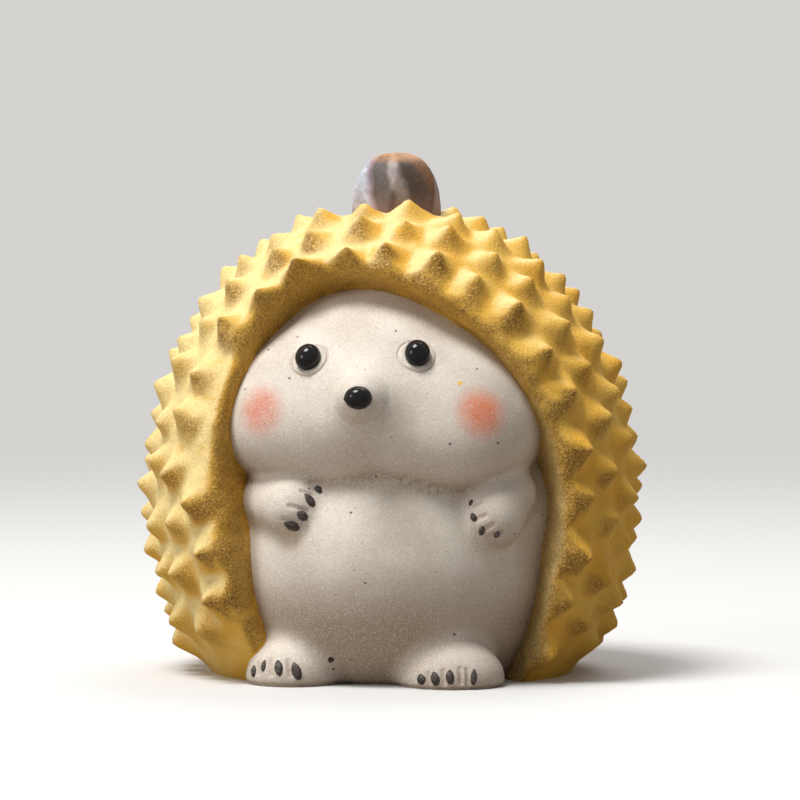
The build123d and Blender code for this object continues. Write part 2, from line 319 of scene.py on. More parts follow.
# Stem
STEM_PLACE = np.array((0.0, 4.0, 51.2)) * MM
STEM_SIDES = 6
STEM_FACET = 0.95  # how flat its facets are, up to 1
STEM_FACET_TURN = 0.35
STEM_TWIST = 0.35
STEM_DOME_FROM = 0.33
STEM_DOME = 2.4
STEM_DOME_FULL = 0.4
STEM_FOOT = 0.08
STEM_SLANT = 0.11  # how far the glaze's streaks lean, in turns over the stem's length
STEM_SLANT_FROM = 0.09
STEM_WANDER = 0.07
STEM_MESH = (112, 64)

# Stage, with each lamp's name, place, size and power
FLOOR_SIZE = 12.0
FLOOR_SHADE = (0.72, 0.71, 0.69)
FLOOR_BOUNCE = (0.34, 0.31, 0.28)  # its shade in the light that it throws back
FLOOR_FADE = (0.12, 0.55)
FLOOR_ROUGH = 0.7
BACKDROP = (0.66, 0.65, 0.635)
ROOM_LIGHT = (0.92, 0.96, 1.0)
ROOM_STRENGTH = 0.24
LAMPS = (
    ("key lamp", (-0.17, -0.15, 0.62), 0.24, 4.5),
    ("back lamp", (0.10, 0.30, 0.50), 0.30, 1.0),
    ("fill lamp", (-0.58, -0.42, 0.28), 0.24, 1.3),
)


def sizes_of(context):
    """The sizes that the panel shows."""
    return context.scene.hedgehog_sizes


def finishes_of(context):
    """The colours that the panel shows."""
    return context.scene.hedgehog_finishes


def unit(ways):
    """Directions at unit length."""
    return ways / np.maximum(np.linalg.norm(ways, axis=-1, keepdims=True), TINY)


def share_of(value, low, high):
    """How far a value has come from low to high, from 0 to 1."""
    return np.clip((value - low) / (high - low), 0, 1)


def ease(share):
    """A share from 0 to 1 that starts and ends gently."""
    return share * share * (3 - 2 * share)


def bell(away, wide):
    """1 in the middle, falling off softly over that width."""
    return np.exp(-((away / wide) ** 2))


# Forms in clay: each gives how far points lie outside it


def about_front(angle, reach, z):
    """The point at that angle from the front, that far from the axis and at that height."""
    turn = math.radians(angle)
    return np.array((reach * math.sin(turn), -reach * math.cos(turn), z))


def ball(points, centre, radius):
    """A ball of clay."""
    return np.linalg.norm(points - centre, axis=1) - radius


def egg(points, centre, radii):
    """A ball pressed out of round."""
    near = (points - centre) / radii
    far = np.linalg.norm(near, axis=1)
    slope = np.linalg.norm(near / radii, axis=1)
    return far * (far - 1) / np.maximum(slope, TINY)


def stub(points, start, end, start_radius, end_radius):
    """A round-ended stub that tapers from start to end."""
    along = end - start
    share = np.clip((points - start) @ along / (along @ along), 0, 1)
    radius = start_radius + (end_radius - start_radius) * share
    return np.linalg.norm(points - start - share[:, None] * along, axis=1) - radius


def press_on(first, second, fillet):
    """Two forms stuck together, the clay smoothed into the corner."""
    near = np.maximum(fillet - np.abs(first - second), 0) / fillet
    return np.minimum(first, second) - near * near * fillet / 4


def cut_off(first, second, fillet):
    """What two forms share, with the edge rounded."""
    return -press_on(-first, -second, fillet)


def foot_centre(side):
    """Where a foot stands; side is -1 for the right foot and 1 for the left."""
    turn = math.radians(FRONT_TURN)
    x, y = side * FOOT_SPREAD[side], -FOOT_REACH
    across = x * math.cos(turn) - y * math.sin(turn)
    forward = x * math.sin(turn) + y * math.cos(turn)
    return np.array((across, forward, FOOT_LIFT))


def snout_ends():
    """The root and the tip of the snout's stub."""
    return [about_front(FRONT_TURN, reach, z) for reach, z in (SNOUT_ROOT, SNOUT_TIP)]


def torso_form(points, sizes):
    """The torso with its flanks and its paunch."""
    lower = ball(points, np.array((0, 0, sizes.belly_z)), sizes.belly_r)
    for side in SIDES:
        lower = press_on(lower, ball(points, FLANKS[side], FLANK_RADIUS), FLANK_FILLET)
    return press_on(lower, egg(points, PAUNCH_PLACE, sizes.paunch_r * PAUNCH_ROUND), PAUNCH_FILLET)


def head_form(points, sizes):
    """The head: snout, jaw rolled under, and cheeks."""
    head = ball(points, np.array((0, 0, sizes.head_z)), sizes.head_r)
    root, tip = snout_ends()
    head = press_on(head, stub(points, root, tip, *SNOUT_RADII), SNOUT_FILLET)
    jaw = JAW_Z + JAW_RISE * points[:, 0] ** 2 - points[:, 2]
    for across, spread_out, droop in JOWLS:
        jaw = jaw - droop * bell(points[:, 0] - across, spread_out)
    head = cut_off(head, jaw, JAW_ROUND)
    for side in SIDES:
        place = about_front(FRONT_TURN + side * CHEEK_ANGLE, CHEEK_REACH, CHEEK_HEIGHTS[side])
        cheek = cut_off(ball(points, place, sizes.cheek_r), CHEEK_BOTTOM - points[:, 2], CHEEK_ROUND)
        head = press_on(head, cheek, CHEEK_FILLET)
    return head


def clay_form(points, sizes):
    """The whole clay figure without its fine work, as if pressed from one lump."""
    form = press_on(torso_form(points, sizes), head_form(points, sizes), CHIN_FILLET)
    for side in SIDES:
        form = press_on(form, stub(points, SHOULDERS[side], PAWS[side], *ARM_RADII), ARM_FILLET)
    for side in SIDES:
        form = press_on(form, egg(points, foot_centre(side), FOOT_RADII[side]), FOOT_FILLET)
    low = np.clip(FLOOR_ROUND - points[:, 2], 0, FLOOR_ROUND_SHARE * FLOOR_ROUND)
    return form + FLOOR_ROUND - np.sqrt(FLOOR_ROUND**2 - low**2)


def camera_frame():
    """The camera's place, and the directions to its right, up and backwards."""
    yaw, rise = math.radians(CAMERA_YAW), math.radians(CAMERA_RISE)
    right = np.array((math.cos(yaw), math.sin(yaw), 0))
    back = np.array((math.sin(yaw) * math.cos(rise), -math.cos(yaw) * math.cos(rise), math.sin(rise)))
    target = right * CAMERA_SHIFT + np.array((0, 0, CAMERA_Z))
    return target + back * CAMERA_FAR, right, np.cross(back, right), back


def seen_at(pixels, form):
    """Where the camera's lines through those pixels first meet a form."""
    eye, right, up, back = camera_frame()
    offsets = (np.array(pixels, dtype=float) - PICTURE / 2) * CAMERA_SENSOR / CAMERA_LENS / PICTURE
    lines = offsets[:, :1] * right - offsets[:, 1:] * up - back
    far = np.full(len(lines), CAMERA_FAR - SIGHT_FROM)
    for _ in range(SIGHT_STEPS):
        far += SIGHT_SHARE * np.clip(form(eye + lines * far[:, None]), 0, SIGHT_MOST)
    return eye + lines * far[:, None]


def slopes(form, points):
    """The outward direction of a form at points."""
    parts = []
    for axis in np.eye(3) * SLOPE_STEP:
        parts.append((form(points + axis) - form(points - axis)) / (2 * SLOPE_STEP))
    return np.stack(parts, axis=1)


def press_to(form, points):
    """Points moved onto a form's surface."""
    points = points.copy()
    for _ in range(PRESS_ROUNDS):
        slope = slopes(form, points)
        away = form(points) / np.maximum((slope**2).sum(axis=1), PRESS_SLOPE)
        points -= slope * np.clip(away, -PRESS_MOST, PRESS_MOST)[:, None]
    return points


def surface_axes(facing):
    """The directions across, up and out for something that sits on a surface facing that way."""
    across = unit(np.cross((0, 0, 1), facing))
    return across, np.cross(facing, across), facing


def fine_work(sizes):
    """Where the fine work sits on the plain clay: eyes with the way they face, nose and grooves."""
    form = partial(clay_form, sizes=sizes)
    eyes = seen_at(list(EYE_PIXELS.values()), form)
    facing = unit(slopes(form, eyes))
    ends = seen_at([pixel for groove in GROOVE_PIXELS for pixel in groove], form)
    return {
        "eyes": list(zip(eyes, facing)),
        "nose": about_front(FRONT_TURN, NOSE_REACH, NOSE_Z),
        "grooves": list(zip(ends[0::2], ends[1::2])),
    }


def worked_form(points, sizes, work):
    """The clay figure with its fine work: eye rims, seats for the beads, and grooves between the digits."""
    form = clay_form(points, sizes)
    for start, end in work["grooves"]:
        form = form + GROOVE_DEPTH * bell(stub(points, start, end, 0, 0), GROOVE_WIDTH)
    for place, facing in work["eyes"]:
        near = points - place
        up = near @ facing
        out = np.linalg.norm(near - up[:, None] * facing, axis=1)
        rim = RIM_HEIGHT * (1 - ease(share_of(out, RIM_OUT, RIM_OUT + RIM_FALL)))
        line = RIM_LINE_DEPTH * bell(out - RIM_OUT - RIM_FALL, RIM_LINE)
        form = form - np.where(np.abs(up) < EYE_NEAR, rim - line, 0)
        local = (points - place + EYE_SINK * facing) @ np.array(surface_axes(facing)).T
        seat = egg(local, np.zeros(3), sizes.eye_r * np.array(EYE_ROUND) + BEAD_GAP)
        form = cut_off(form, -seat, BEAD_EDGE)
    local = (points - work["nose"]) @ np.array(surface_axes(about_front(FRONT_TURN, 1.0, 0.0))).T
    seat = egg(local, np.zeros(3), sizes.nose_r * np.array(NOSE_ROUND) + BEAD_GAP)
    return cut_off(form, -seat, BEAD_EDGE)


def near_beads(points, sizes, work):
    """Which points are close to the eyes or the nose."""
    close = ball(points, work["nose"], sizes.nose_r) < BEAD_NEAR
    for place, _ in work["eyes"]:
        close |= ball(points, place, sizes.eye_r) < BEAD_NEAR
    return close


def near_work(points, sizes, work):
    """Which points are close to any fine work."""
    close = near_beads(points, sizes, work)
    for start, end in work["grooves"]:
        close |= stub(points, start, end, 0, 0) < GROOVE_NEAR
    return close


# Mesh helpers


def deselect_all():
    """Leaves nothing selected, in object mode."""
    if bpy.context.mode != "OBJECT":
        bpy.ops.object.mode_set(mode="OBJECT")
    bpy.ops.object.select_all(action="DESELECT")


def take_up(piece):
    """Makes a piece the only selected and the active one."""
    deselect_all()
    piece.select_set(True)
    bpy.context.view_layer.objects.active = piece


def in_hand():
    """The piece that was added or taken up last."""
    return bpy.context.view_layer.objects.active


def call(piece, name):
    """Names a piece and its mesh."""
    piece.name = name
    piece.data.name = name
    return piece


def open_all(piece):
    """Opens a piece in edit mode with all of it selected."""
    take_up(piece)
    bpy.ops.object.mode_set(mode="EDIT")
    bpy.ops.mesh.select_all(action="SELECT")


def corners(piece):
    """A piece's vertices as an array."""
    flat = np.empty(len(piece.data.vertices) * 3)
    piece.data.vertices.foreach_get("co", flat)
    return flat.reshape(-1, 3)


def put_corners(piece, points):
    """Moves a piece's vertices to those places."""
    piece.data.vertices.foreach_set("co", np.asarray(points, dtype=float).ravel())
    piece.data.update()


def note(piece, name, values):
    """Keeps a number for each vertex, which the finishes read by name."""
    mark = piece.data.attributes.get(name) or piece.data.attributes.new(name, "FLOAT", "POINT")
    mark.data.foreach_set("value", np.asarray(values, dtype=np.float32))


def join(pieces, name):
    """Several objects as one."""
    deselect_all()
    for piece in pieces:
        piece.select_set(True)
    bpy.context.view_layer.objects.active = pieces[0]
    if len(pieces) > 1:
        bpy.ops.object.join()
    return call(in_hand(), name)


def copy_of(piece, name):
    """A copy with its own mesh."""
    take_up(piece)
    bpy.ops.object.duplicate(linked=False)
    return call(in_hand(), name)


def settle(piece):
    """Puts a piece's place into its mesh, so the object itself sits at the origin."""
    take_up(piece)
    bpy.ops.object.transform_apply(location=True, rotation=True, scale=True)


def apply_all(piece):
    """Applies the modifiers of a piece in order."""
    take_up(piece)
    for modifier in list(piece.modifiers):
        bpy.ops.object.modifier_apply(modifier=modifier.name)


def rub(piece, factor):
    """Rubs a surface over."""
    open_all(piece)
    bpy.ops.mesh.vertices_smooth(factor=factor, repeat=RUBS)
    bpy.ops.object.mode_set(mode="OBJECT")


def slice_level(piece, z, keep_above):
    """Cuts a piece level at a height and closes it, keeping what is above or what is below."""
    open_all(piece)
    bpy.ops.mesh.bisect(
        plane_co=(0, 0, z),
        plane_no=(0, 0, 1),
        use_fill=True,
        clear_inner=keep_above,
        clear_outer=not keep_above,
        threshold=CUT_NEAR,
    )
    bpy.ops.object.mode_set(mode="OBJECT")


def choose_faces(piece, chosen):
    """Opens a piece in edit mode with only those faces selected."""
    take_up(piece)
    bpy.ops.object.mode_set(mode="EDIT")
    bpy.ops.mesh.select_mode(type="FACE")
    bpy.ops.mesh.select_all(action="DESELECT")
    bpy.ops.object.mode_set(mode="OBJECT")
    piece.data.polygons.foreach_set("select", chosen)
    bpy.ops.object.mode_set(mode="EDIT")


def face_values(piece, name, wide=1, kind=float):
    """What each face of a piece holds under a name, in rows where that is several numbers."""
    flat = np.empty(len(piece.data.polygons) * wide, dtype=kind)
    piece.data.polygons.foreach_get(name, flat)
    return flat.reshape(-1, wide) if wide > 1 else flat


def refine(piece, wanted, cuts):
    """Divides the faces that are wanted by their centres, apart from flat cuts."""
    few_sides = face_values(piece, "loop_total", kind=int) <= MANY_SIDES
    choose_faces(piece, wanted(face_values(piece, "center", 3)) & few_sides)
    bpy.ops.mesh.subdivide(number_cuts=cuts)
    bpy.ops.object.mode_set(mode="OBJECT")


def carve(piece, tool, how="DIFFERENCE"):
    """Carves a piece with a tool's shape, and takes the tool away."""
    take_up(piece)
    cut = piece.modifiers.new("cut", "BOOLEAN")
    cut.operation = how
    cut.solver = "EXACT"
    cut.object = tool
    bpy.ops.object.modifier_apply(modifier=cut.name)
    bpy.data.objects.remove(tool)


def smooth_faces(piece, form=None):
    """Shades a piece smoothly; where a form is given, its own slope sets the shading on the outside."""
    take_up(piece)
    bpy.ops.object.shade_smooth_by_angle(angle=SMOOTH_ANGLE)
    if form is None:
        return
    corner_of = np.empty(len(piece.data.loops), dtype=int)
    piece.data.loops.foreach_get("vertex_index", corner_of)
    wanted = unit(slopes(form, corners(piece)))[corner_of]
    totals = face_values(piece, "loop_total", kind=int)
    inside = form(face_values(piece, "center", 3)) < -CUT_DEPTH
    flat = np.repeat(inside, totals)
    wanted[flat] = np.repeat(face_values(piece, "normal", 3), totals, axis=0)[flat]
    piece.data.normals_split_custom_set(wanted.tolist())


def finish_piece(piece, node, material):
    """Gives a piece its finish and lets it stand for its CAD node."""
    piece.data.materials.clear()
    piece.data.materials.append(material)
    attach(piece, BODY)
    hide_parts(node)


# Finishes


class Wiring:
    """A node tree that is being wired; each call adds one node and gives back what it puts out."""

    def __init__(self, tree):
        self.tree = tree

    def add(self, kind, inputs=None, **settings):
        """A node with its settings made and its inputs set or linked."""
        node = self.tree.nodes.new(kind)
        for name, value in settings.items():
            setattr(node, name, value)
        for key, value in (inputs or {}).items():
            if isinstance(value, bpy.types.NodeSocket):
                self.tree.links.new(value, node.inputs[key])
            else:
                node.inputs[key].default_value = value
        return node

    def place(self):
        """Where the surface is, in the frame of the part."""
        return self.add("ShaderNodeTexCoord").outputs["Object"]

    def math(self, operation, first, second):
        """Arithmetic kept between 0 and 1."""
        given = {0: first, 1: second}
        return self.add("ShaderNodeMath", given, operation=operation, use_clamp=True).outputs[0]

    def times(self, first, second):
        """A product kept between 0 and 1."""
        return self.math("MULTIPLY", first, second)

    def step(self, value, low, high):
        """Goes smoothly from 0 at low to 1 at high."""
        given = {"Value": value, "From Min": low, "From Max": high}
        return self.add("ShaderNodeMapRange", given, interpolation_type="SMOOTHSTEP").outputs["Result"]

    def between(self, mask, low, high):
        """Goes evenly from low where a mask is 0 to high where it is 1."""
        given = {"Value": mask, "To Min": low, "To Max": high}
        return self.add("ShaderNodeMapRange", given).outputs["Result"]

    def pushed(self, value, by, share):
        """A value moved on by a share of another, past 1 too."""
        given = {0: by, 1: share, 2: value}
        return self.add("ShaderNodeMath", given, operation="MULTIPLY_ADD").outputs[0]

    def mix(self, share, first, second):
        """Two colours mixed."""
        given = {0: share, 6: first, 7: second}
        return self.add("ShaderNodeMix", given, data_type="RGBA").outputs[2]

    def lay(self, base, shade, mask, strength=1.0):
        """A colour laid over a base where a mask shows, at a strength."""
        return self.mix(self.times(mask, strength), base, opaque(shade))

    def noise(self, place, scale, detail=2.0):
        """Soft noise, so many lumps to the metre."""
        given = {"Vector": place, "Scale": scale, "Detail": detail}
        return self.add("ShaderNodeTexNoise", given).outputs["Fac"]

    def cells(self, place, scale, size, chance):
        """Round dots of that size against their spacing, in that share of the places."""
        dots = self.add("ShaderNodeTexVoronoi", {"Vector": place, "Scale": scale}).outputs
        draw = self.add("ShaderNodeSeparateColor", {"Color": dots["Color"]}).outputs["Red"]
        shown = self.step(draw, 1 - chance, 1 - chance + SPECK_BLUR)
        return self.times(self.step(dots["Distance"], size, SPECK_CORE * size), shown)

    def mark(self, name):
        """A number noted on the mesh."""
        return self.add("ShaderNodeAttribute", attribute_name=name).outputs["Fac"]

    def spot(self, place, centre, outer, inner):
        """A soft round spot about a point: 0 beyond outer and 1 within inner."""
        given = {0: place, 1: tuple(centre)}
        away = self.add("ShaderNodeVectorMath", given, operation="DISTANCE").outputs["Value"]
        return self.step(away, outer, inner)

    def bump(self, height, strength, distance):
        """The surface's normal, roughened by a height."""
        given = {"Height": height, "Strength": strength, "Distance": distance}
        return self.add("ShaderNodeBump", given).outputs["Normal"]


def opaque(shade):
    """A colour with nothing see-through."""
    return (*shade, 1.0)


def new_finish(name):
    """A material with its wiring and its shader."""
    material = bpy.data.materials.new(name)
    material.use_nodes = True
    return material, Wiring(material.node_tree), material.node_tree.nodes["Principled BSDF"]


def set_finish(wires, shader, **values):
    """Links or sets the shader's inputs, each named with _ for its spaces."""
    for name, value in values.items():
        socket = shader.inputs[name.replace("_", " ")]
        if isinstance(value, bpy.types.NodeSocket):
            wires.tree.links.new(value, socket)
        else:
            socket.default_value = value


def clay_grain():
    """A node group with the clay's grain: pale grains, dark specks, mottling, sand and relief."""
    name = "clay grain"
    if name in bpy.data.node_groups:
        return bpy.data.node_groups[name]
    tree = bpy.data.node_groups.new(name, "ShaderNodeTree")
    number = "NodeSocketFloat"
    for socket, default in (("Grains", GRAINS), ("Specks", SPECKS)):
        made = tree.interface.new_socket(socket, in_out="INPUT", socket_type=number)
        made.default_value = default
    for socket in ("Pale", "Dark", "Mottle", "Sand", "Relief"):
        tree.interface.new_socket(socket, in_out="OUTPUT", socket_type=number)
    wires = Wiring(tree)
    given = wires.add("NodeGroupInput").outputs
    place = wires.place()
    closer = wires.pushed(0.0, given["Specks"], SPECKS_CLOSER)
    few = wires.cells(place, given["Specks"], size=0.085, chance=0.55)
    fine = wires.cells(place, closer, size=0.09, chance=0.4)
    pale = wires.step(wires.noise(place, given["Grains"], detail=1.0), low=0.52, high=0.68)
    mottle = wires.step(wires.noise(place, scale=150, detail=3.0), low=0.32, high=0.68)
    sand = wires.step(wires.noise(place, scale=3600, detail=1.0), low=0.3, high=0.7)
    rough = wires.math("ADD", wires.times(wires.noise(place, scale=2400), 0.6), wires.times(pale, 0.4))
    dark = wires.math("MAXIMUM", few, fine)
    out = {"Pale": pale, "Dark": dark, "Mottle": mottle, "Sand": sand, "Relief": rough}
    wires.add("NodeGroupOutput", out)
    return tree


def stoneware(finishes, sizes):
    """Pale sandy stoneware with specks, blushed cheeks and a few stains, and painted shade low on the belly,
    under the head, in the chin's crease, in the grooves and round the eye rims.
    """
    material, wires, shader = new_finish("speckled stoneware")
    grain = wires.add("ShaderNodeGroup", node_tree=clay_grain()).outputs
    place = wires.place()
    form = partial(clay_form, sizes=sizes)
    stain, fleck = seen_at([PAW_STAIN_PIXEL, FLECK_PIXEL], form)
    stained = wires.spot(place, stain, outer=2.4 * MM, inner=0.6 * MM)
    base = wires.lay(opaque(finishes.clay), finishes.dark_clay_and_shade, grain["Mottle"], strength=0.35)
    # painted shade under the head, in the chin's crease and low on the belly
    base = wires.lay(base, finishes.dark_clay_and_shade, wires.mark("brown"), strength=0.85)
    base = wires.lay(base, finishes.dark_clay_and_shade, grain["Sand"], strength=0.22)
    base = wires.lay(base, finishes.stain, stained, strength=0.55)
    # painted shade in the grooves and along the eye rims
    base = wires.lay(base, finishes.groove, wires.mark("worked"), strength=0.5)
    base = wires.lay(base, finishes.sand, grain["Pale"], strength=0.45)
    uneven = wires.step(wires.noise(place, scale=700), low=-0.3, high=0.6)
    thin = wires.between(grain["Pale"], low=1.0, high=0.55)
    blushes = (finishes.blush_right, finishes.blush_left)
    for shade, centre in zip(blushes, seen_at(list(BLUSH_PIXELS.values()), form)):
        soft = wires.times(wires.spot(place, centre, BLUSH_OUT, BLUSH_IN), uneven)
        base = wires.lay(base, shade, wires.times(soft, thin), strength=0.9)
    base = wires.lay(base, finishes.speck, grain["Dark"], strength=0.92)
    dab = wires.spot(place, fleck, outer=0.6 * MM, inner=0.1 * MM)
    ragged = wires.math("ADD", dab, wires.times(wires.noise(place, scale=2000), 0.5))
    base = wires.lay(base, finishes.slip, wires.step(ragged, low=0.85, high=1.0))
    set_finish(
        wires,
        shader,
        Base_Color=base,
        Roughness=wires.between(grain["Pale"], low=0.82, high=0.52),
        Normal=wires.bump(grain["Relief"], strength=0.5, distance=0.1 * MM),
    )
    return material


def yellow_slip(finishes):
    """Matt yellow slip over sandy clay: painted shade with some stain under the spikes and on the lip, painted
    light with a pale dusting on the sides that face the upper left, and worn at the tips.
    """
    material, wires, shader = new_finish("yellow slip")
    coarser = {"Grains": SLIP_GRAINS, "Specks": SLIP_SPECKS}
    grain = wires.add("ShaderNodeGroup", coarser, node_tree=clay_grain()).outputs
    cloud = wires.noise(wires.place(), scale=420, detail=4.0)

    def in_clouds(name, shown, clouds):
        return wires.times(wires.step(wires.mark(name), *shown), wires.step(cloud, *clouds))

    # painted light, with a pale dusting, on the sides that face the upper left
    lit_and_dusted = in_clouds("dust_and_light", shown=(0.0, 0.65), clouds=(0.12, 0.48))
    # painted shade, with some stain, on the flanks that face the opening and face down
    stained = in_clouds("stain", shown=(0.0, 0.75), clouds=(0.15, 0.5))
    worn = in_clouds("spike", shown=(0.72, 0.95), clouds=(0.35, 0.6))
    # painted shade on the band where the lip rolls in round the face
    lip = wires.times(wires.step(wires.mark("over_lip"), low=1.0, high=0.5), 0.35)
    # painted shade on the flanks and the lip, with some stain
    brown = wires.math("MAXIMUM", stained, lip)
    loose = wires.between(grain["Sand"], low=0.6, high=1.0)
    gold = wires.between(brown, low=0.2, high=0.7)
    seam = wires.step(wires.mark("seam"), low=0.35, high=0.9)
    base = wires.lay(opaque(finishes.slip), finishes.slip_deep, grain["Mottle"])
    # painted light and a pale dusting on the sides that face the upper left
    base = wires.lay(base, finishes.slip_dusted_and_lit, lit_and_dusted, strength=0.85)
    base = wires.lay(base, finishes.tip, grain["Sand"], strength=0.25)
    # painted shade with some stain
    base = wires.lay(base, finishes.slip_shade_and_stain, brown, strength=loose)
    base = wires.lay(base, finishes.tip, worn, strength=0.5)
    base = wires.lay(base, finishes.slip_sand, grain["Pale"], strength=gold)
    base = wires.lay(base, finishes.slip_dark, grain["Dark"], strength=0.8)
    base = wires.lay(base, finishes.slip_deep, seam, strength=0.7)
    set_finish(
        wires,
        shader,
        Base_Color=base,
        Roughness=wires.between(grain["Pale"], low=0.85, high=0.5),
        Normal=wires.bump(grain["Relief"], strength=0.8, distance=0.14 * MM),
    )
    return material


def stem_glaze(finishes):
    """Runny satin glaze down the stem in grey-brown, greige and rust, with a painted bluish-white reflection
    on its left facets.
    """
    material, wires, shader = new_finish("streaked stem glaze")
    place = wires.place()
    from_foot = {0: place, 1: tuple(STEM_PLACE)}
    from_foot = wires.add("ShaderNodeVectorMath", from_foot, operation="SUBTRACT").outputs[0]
    turn = wires.add("ShaderNodeTexGradient", {"Vector": from_foot}, gradient_type="RADIAL").outputs["Fac"]
    wander = wires.noise(place, scale=330, detail=3.0)
    height = wires.mark("height")
    turn = wires.pushed(wires.pushed(turn, wander, STEM_WANDER), height, STEM_SLANT)
    # the glaze's colours by the turn round the stem, with a painted reflection on the left facets
    streaks_and_reflection = wires.add("ShaderNodeValToRGB", {"Fac": wires.math("SUBTRACT", turn, STEM_SLANT_FROM)})
    ramp = streaks_and_reflection.color_ramp
    for position, _ in STEM_STREAKS_AND_REFLECTION[1:-1]:
        ramp.elements.new(position)
    for element, (position, shade) in zip(ramp.elements, STEM_STREAKS_AND_REFLECTION):
        element.position = position
        element.color = opaque(shade)
    rust = wires.times(wires.step(height, low=0.84, high=0.97), wires.step(wander, low=0.2, high=0.5))
    mottle = wires.step(wires.noise(place, scale=900, detail=4.0), low=0.42, high=0.62)
    spots = wires.step(wires.noise(place, scale=2100), low=0.6, high=0.72)
    base = streaks_and_reflection.outputs["Color"]
    base = wires.lay(base, finishes.stem_pink, wires.step(height, low=0.62, high=0.25), strength=0.4)
    base = wires.lay(base, finishes.stem_rim, rust, strength=0.85)
    base = wires.lay(base, finishes.stem_dark, mottle, strength=0.28)
    base = wires.lay(base, finishes.stem_rim, spots, strength=0.22)
    ripples = wires.noise(place, scale=1100, detail=4.0)
    set_finish(
        wires,
        shader,
        Base_Color=base,
        Roughness=wires.between(wander, low=0.38, high=0.68),
        Specular_IOR_Level=0.3,
        Normal=wires.bump(ripples, strength=0.5, distance=0.15 * MM),
    )
    return material


def black_glaze(finishes):
    """Glossy black glaze, with the faint unevenness of a drop that ran smooth in the fire."""
    material, wires, shader = new_finish("black glaze")
    pool = wires.noise(wires.place(), scale=500, detail=3.0)
    thin = wires.step(pool, low=0.3, high=0.75)
    set_finish(
        wires,
        shader,
        Base_Color=wires.lay(opaque(finishes.black), finishes.black_thin, thin),
        Roughness=wires.between(pool, low=0.04, high=0.14),
        Specular_IOR_Level=0.22,
        Normal=wires.bump(pool, strength=0.06, distance=0.1 * MM),
    )
    return material


def claw_slip(finishes):
    """Dark dull slip on the claws, uneven and with sand showing through."""
    material, wires, shader = new_finish("dark claw slip")
    grain = wires.add("ShaderNodeGroup", {"Grains": CLAW_GRAINS}, node_tree=clay_grain()).outputs
    base = wires.lay(opaque(finishes.black_thin), finishes.claw, grain["Mottle"])
    base = wires.lay(base, finishes.dark_clay_and_shade, grain["Pale"], strength=0.3)
    set_finish(
        wires,
        shader,
        Base_Color=base,
        Roughness=wires.between(grain["Mottle"], low=0.45, high=0.7),
        Normal=wires.bump(grain["Relief"], strength=0.5, distance=0.08 * MM),
    )
    return material


# Modelled shapes


def plain_ball(place, radius):
    """A ball at a place."""
    deselect_all()
    bpy.ops.mesh.primitive_ico_sphere_add(subdivisions=BALL_FINE, radius=radius, location=place)
    return in_hand()


def clay_lump(sizes, voxel, name):
    """The figure's clay as one lump, from balls and stubs pressed together."""
    rounds = [
        ((0, 0, sizes.belly_z), sizes.belly_r),
        (PAUNCH_PLACE, sizes.paunch_r),
        ((0, 0, sizes.head_z), sizes.head_r),
        (snout_ends()[0], SNOUT_RADII[0]),
        (snout_ends()[1], SNOUT_RADII[1]),
    ]
    for side in SIDES:
        cheek = about_front(FRONT_TURN + side * CHEEK_ANGLE, CHEEK_REACH, CHEEK_HEIGHTS[side])
        rounds.append((cheek, sizes.cheek_r))
        rounds.append((FLANKS[side], FLANK_RADIUS))
        rounds.append((SHOULDERS[side], ARM_RADII[0]))
        rounds.append(((SHOULDERS[side] + PAWS[side]) / 2, ARM_RADII[1]))
        rounds.append((PAWS[side], ARM_RADII[1]))
        rounds.append((foot_centre(side), FOOT_RADII[side][1]))
    lump = join([plain_ball(place, radius) for place, radius in rounds], name)
    settle(lump)
    knead = lump.modifiers.new("knead", "REMESH")
    knead.mode = "VOXEL"
    knead.voxel_size = voxel
    apply_all(lump)
    form = partial(clay_form, sizes=sizes)
    for _ in range(KNEAD_ROUNDS):
        put_corners(lump, press_to(form, corners(lump)))
        rub(lump, KNEAD_RUB)
    put_corners(lump, press_to(form, corners(lump)))
    return lump


def clay_marks(piece, sizes, work):
    """Notes what the clay's finish reads: painted shade low on the belly, under the head and in the chin's
    crease, and the worked lines with painted shade in the grooves and round the eye rims.
    """
    points = corners(piece)
    outward = slopes(partial(clay_form, sizes=sizes), points)
    # painted shade, browner towards the floor
    low = share_of(points[:, 2], PAINTED_SHADE_FROM, PAINTED_SHADE_FROM - PAINTED_SHADE_OVER)
    # the feet are left out of the painted shade
    feet = np.zeros(len(points))
    for side in SIDES:
        feet = np.maximum(feet, np.exp(-((ball(points, foot_centre(side), 0) / FOOT_UNSHADED) ** 4)))
    # painted shade where the clay faces downward
    under = np.clip(-outward[:, 2], 0, 1)
    # painted shade in the grooves between the digits and along the line outside each eye rim
    worked = np.zeros(len(points))
    for start, end in work["grooves"]:
        worked = np.maximum(worked, bell(stub(points, start, end, 0, 0), GROOVE_WIDTH))
    for place, _ in work["eyes"]:
        out = ball(points, place, RIM_OUT + RIM_FALL)
        worked = np.maximum(worked, RIM_LINE_SHADE * bell(out, RIM_LINE))
    # painted shade along the crease between head and torso
    apart = torso_form(points, sizes) ** 2 + head_form(points, sizes) ** 2
    crease = np.exp(-apart / CREASE_WIDTH**2)
    brown = PAINTED_SHADE_LOW * low * (1 - feet) + PAINTED_SHADE_UNDER * under + PAINTED_SHADE_CREASE * crease
    note(piece, "brown", np.clip(brown, 0, 1))
    note(piece, "worked", worked)


def bore_vent(piece, form):
    """Bores the small vent that let the steam out of the hollow torso, through a piece that it passes."""
    place = seen_at([VENT_PIXEL], form)
    inward = Vector(-slopes(form, place)[0])
    deselect_all()
    bpy.ops.mesh.primitive_cylinder_add(
        vertices=VENT_SIDES,
        radius=VENT_RADIUS,
        depth=2 * VENT_DEPTH,
        location=place[0],
        rotation=inward.to_track_quat("Z", "Y").to_euler(),
    )
    carve(piece, in_hand())


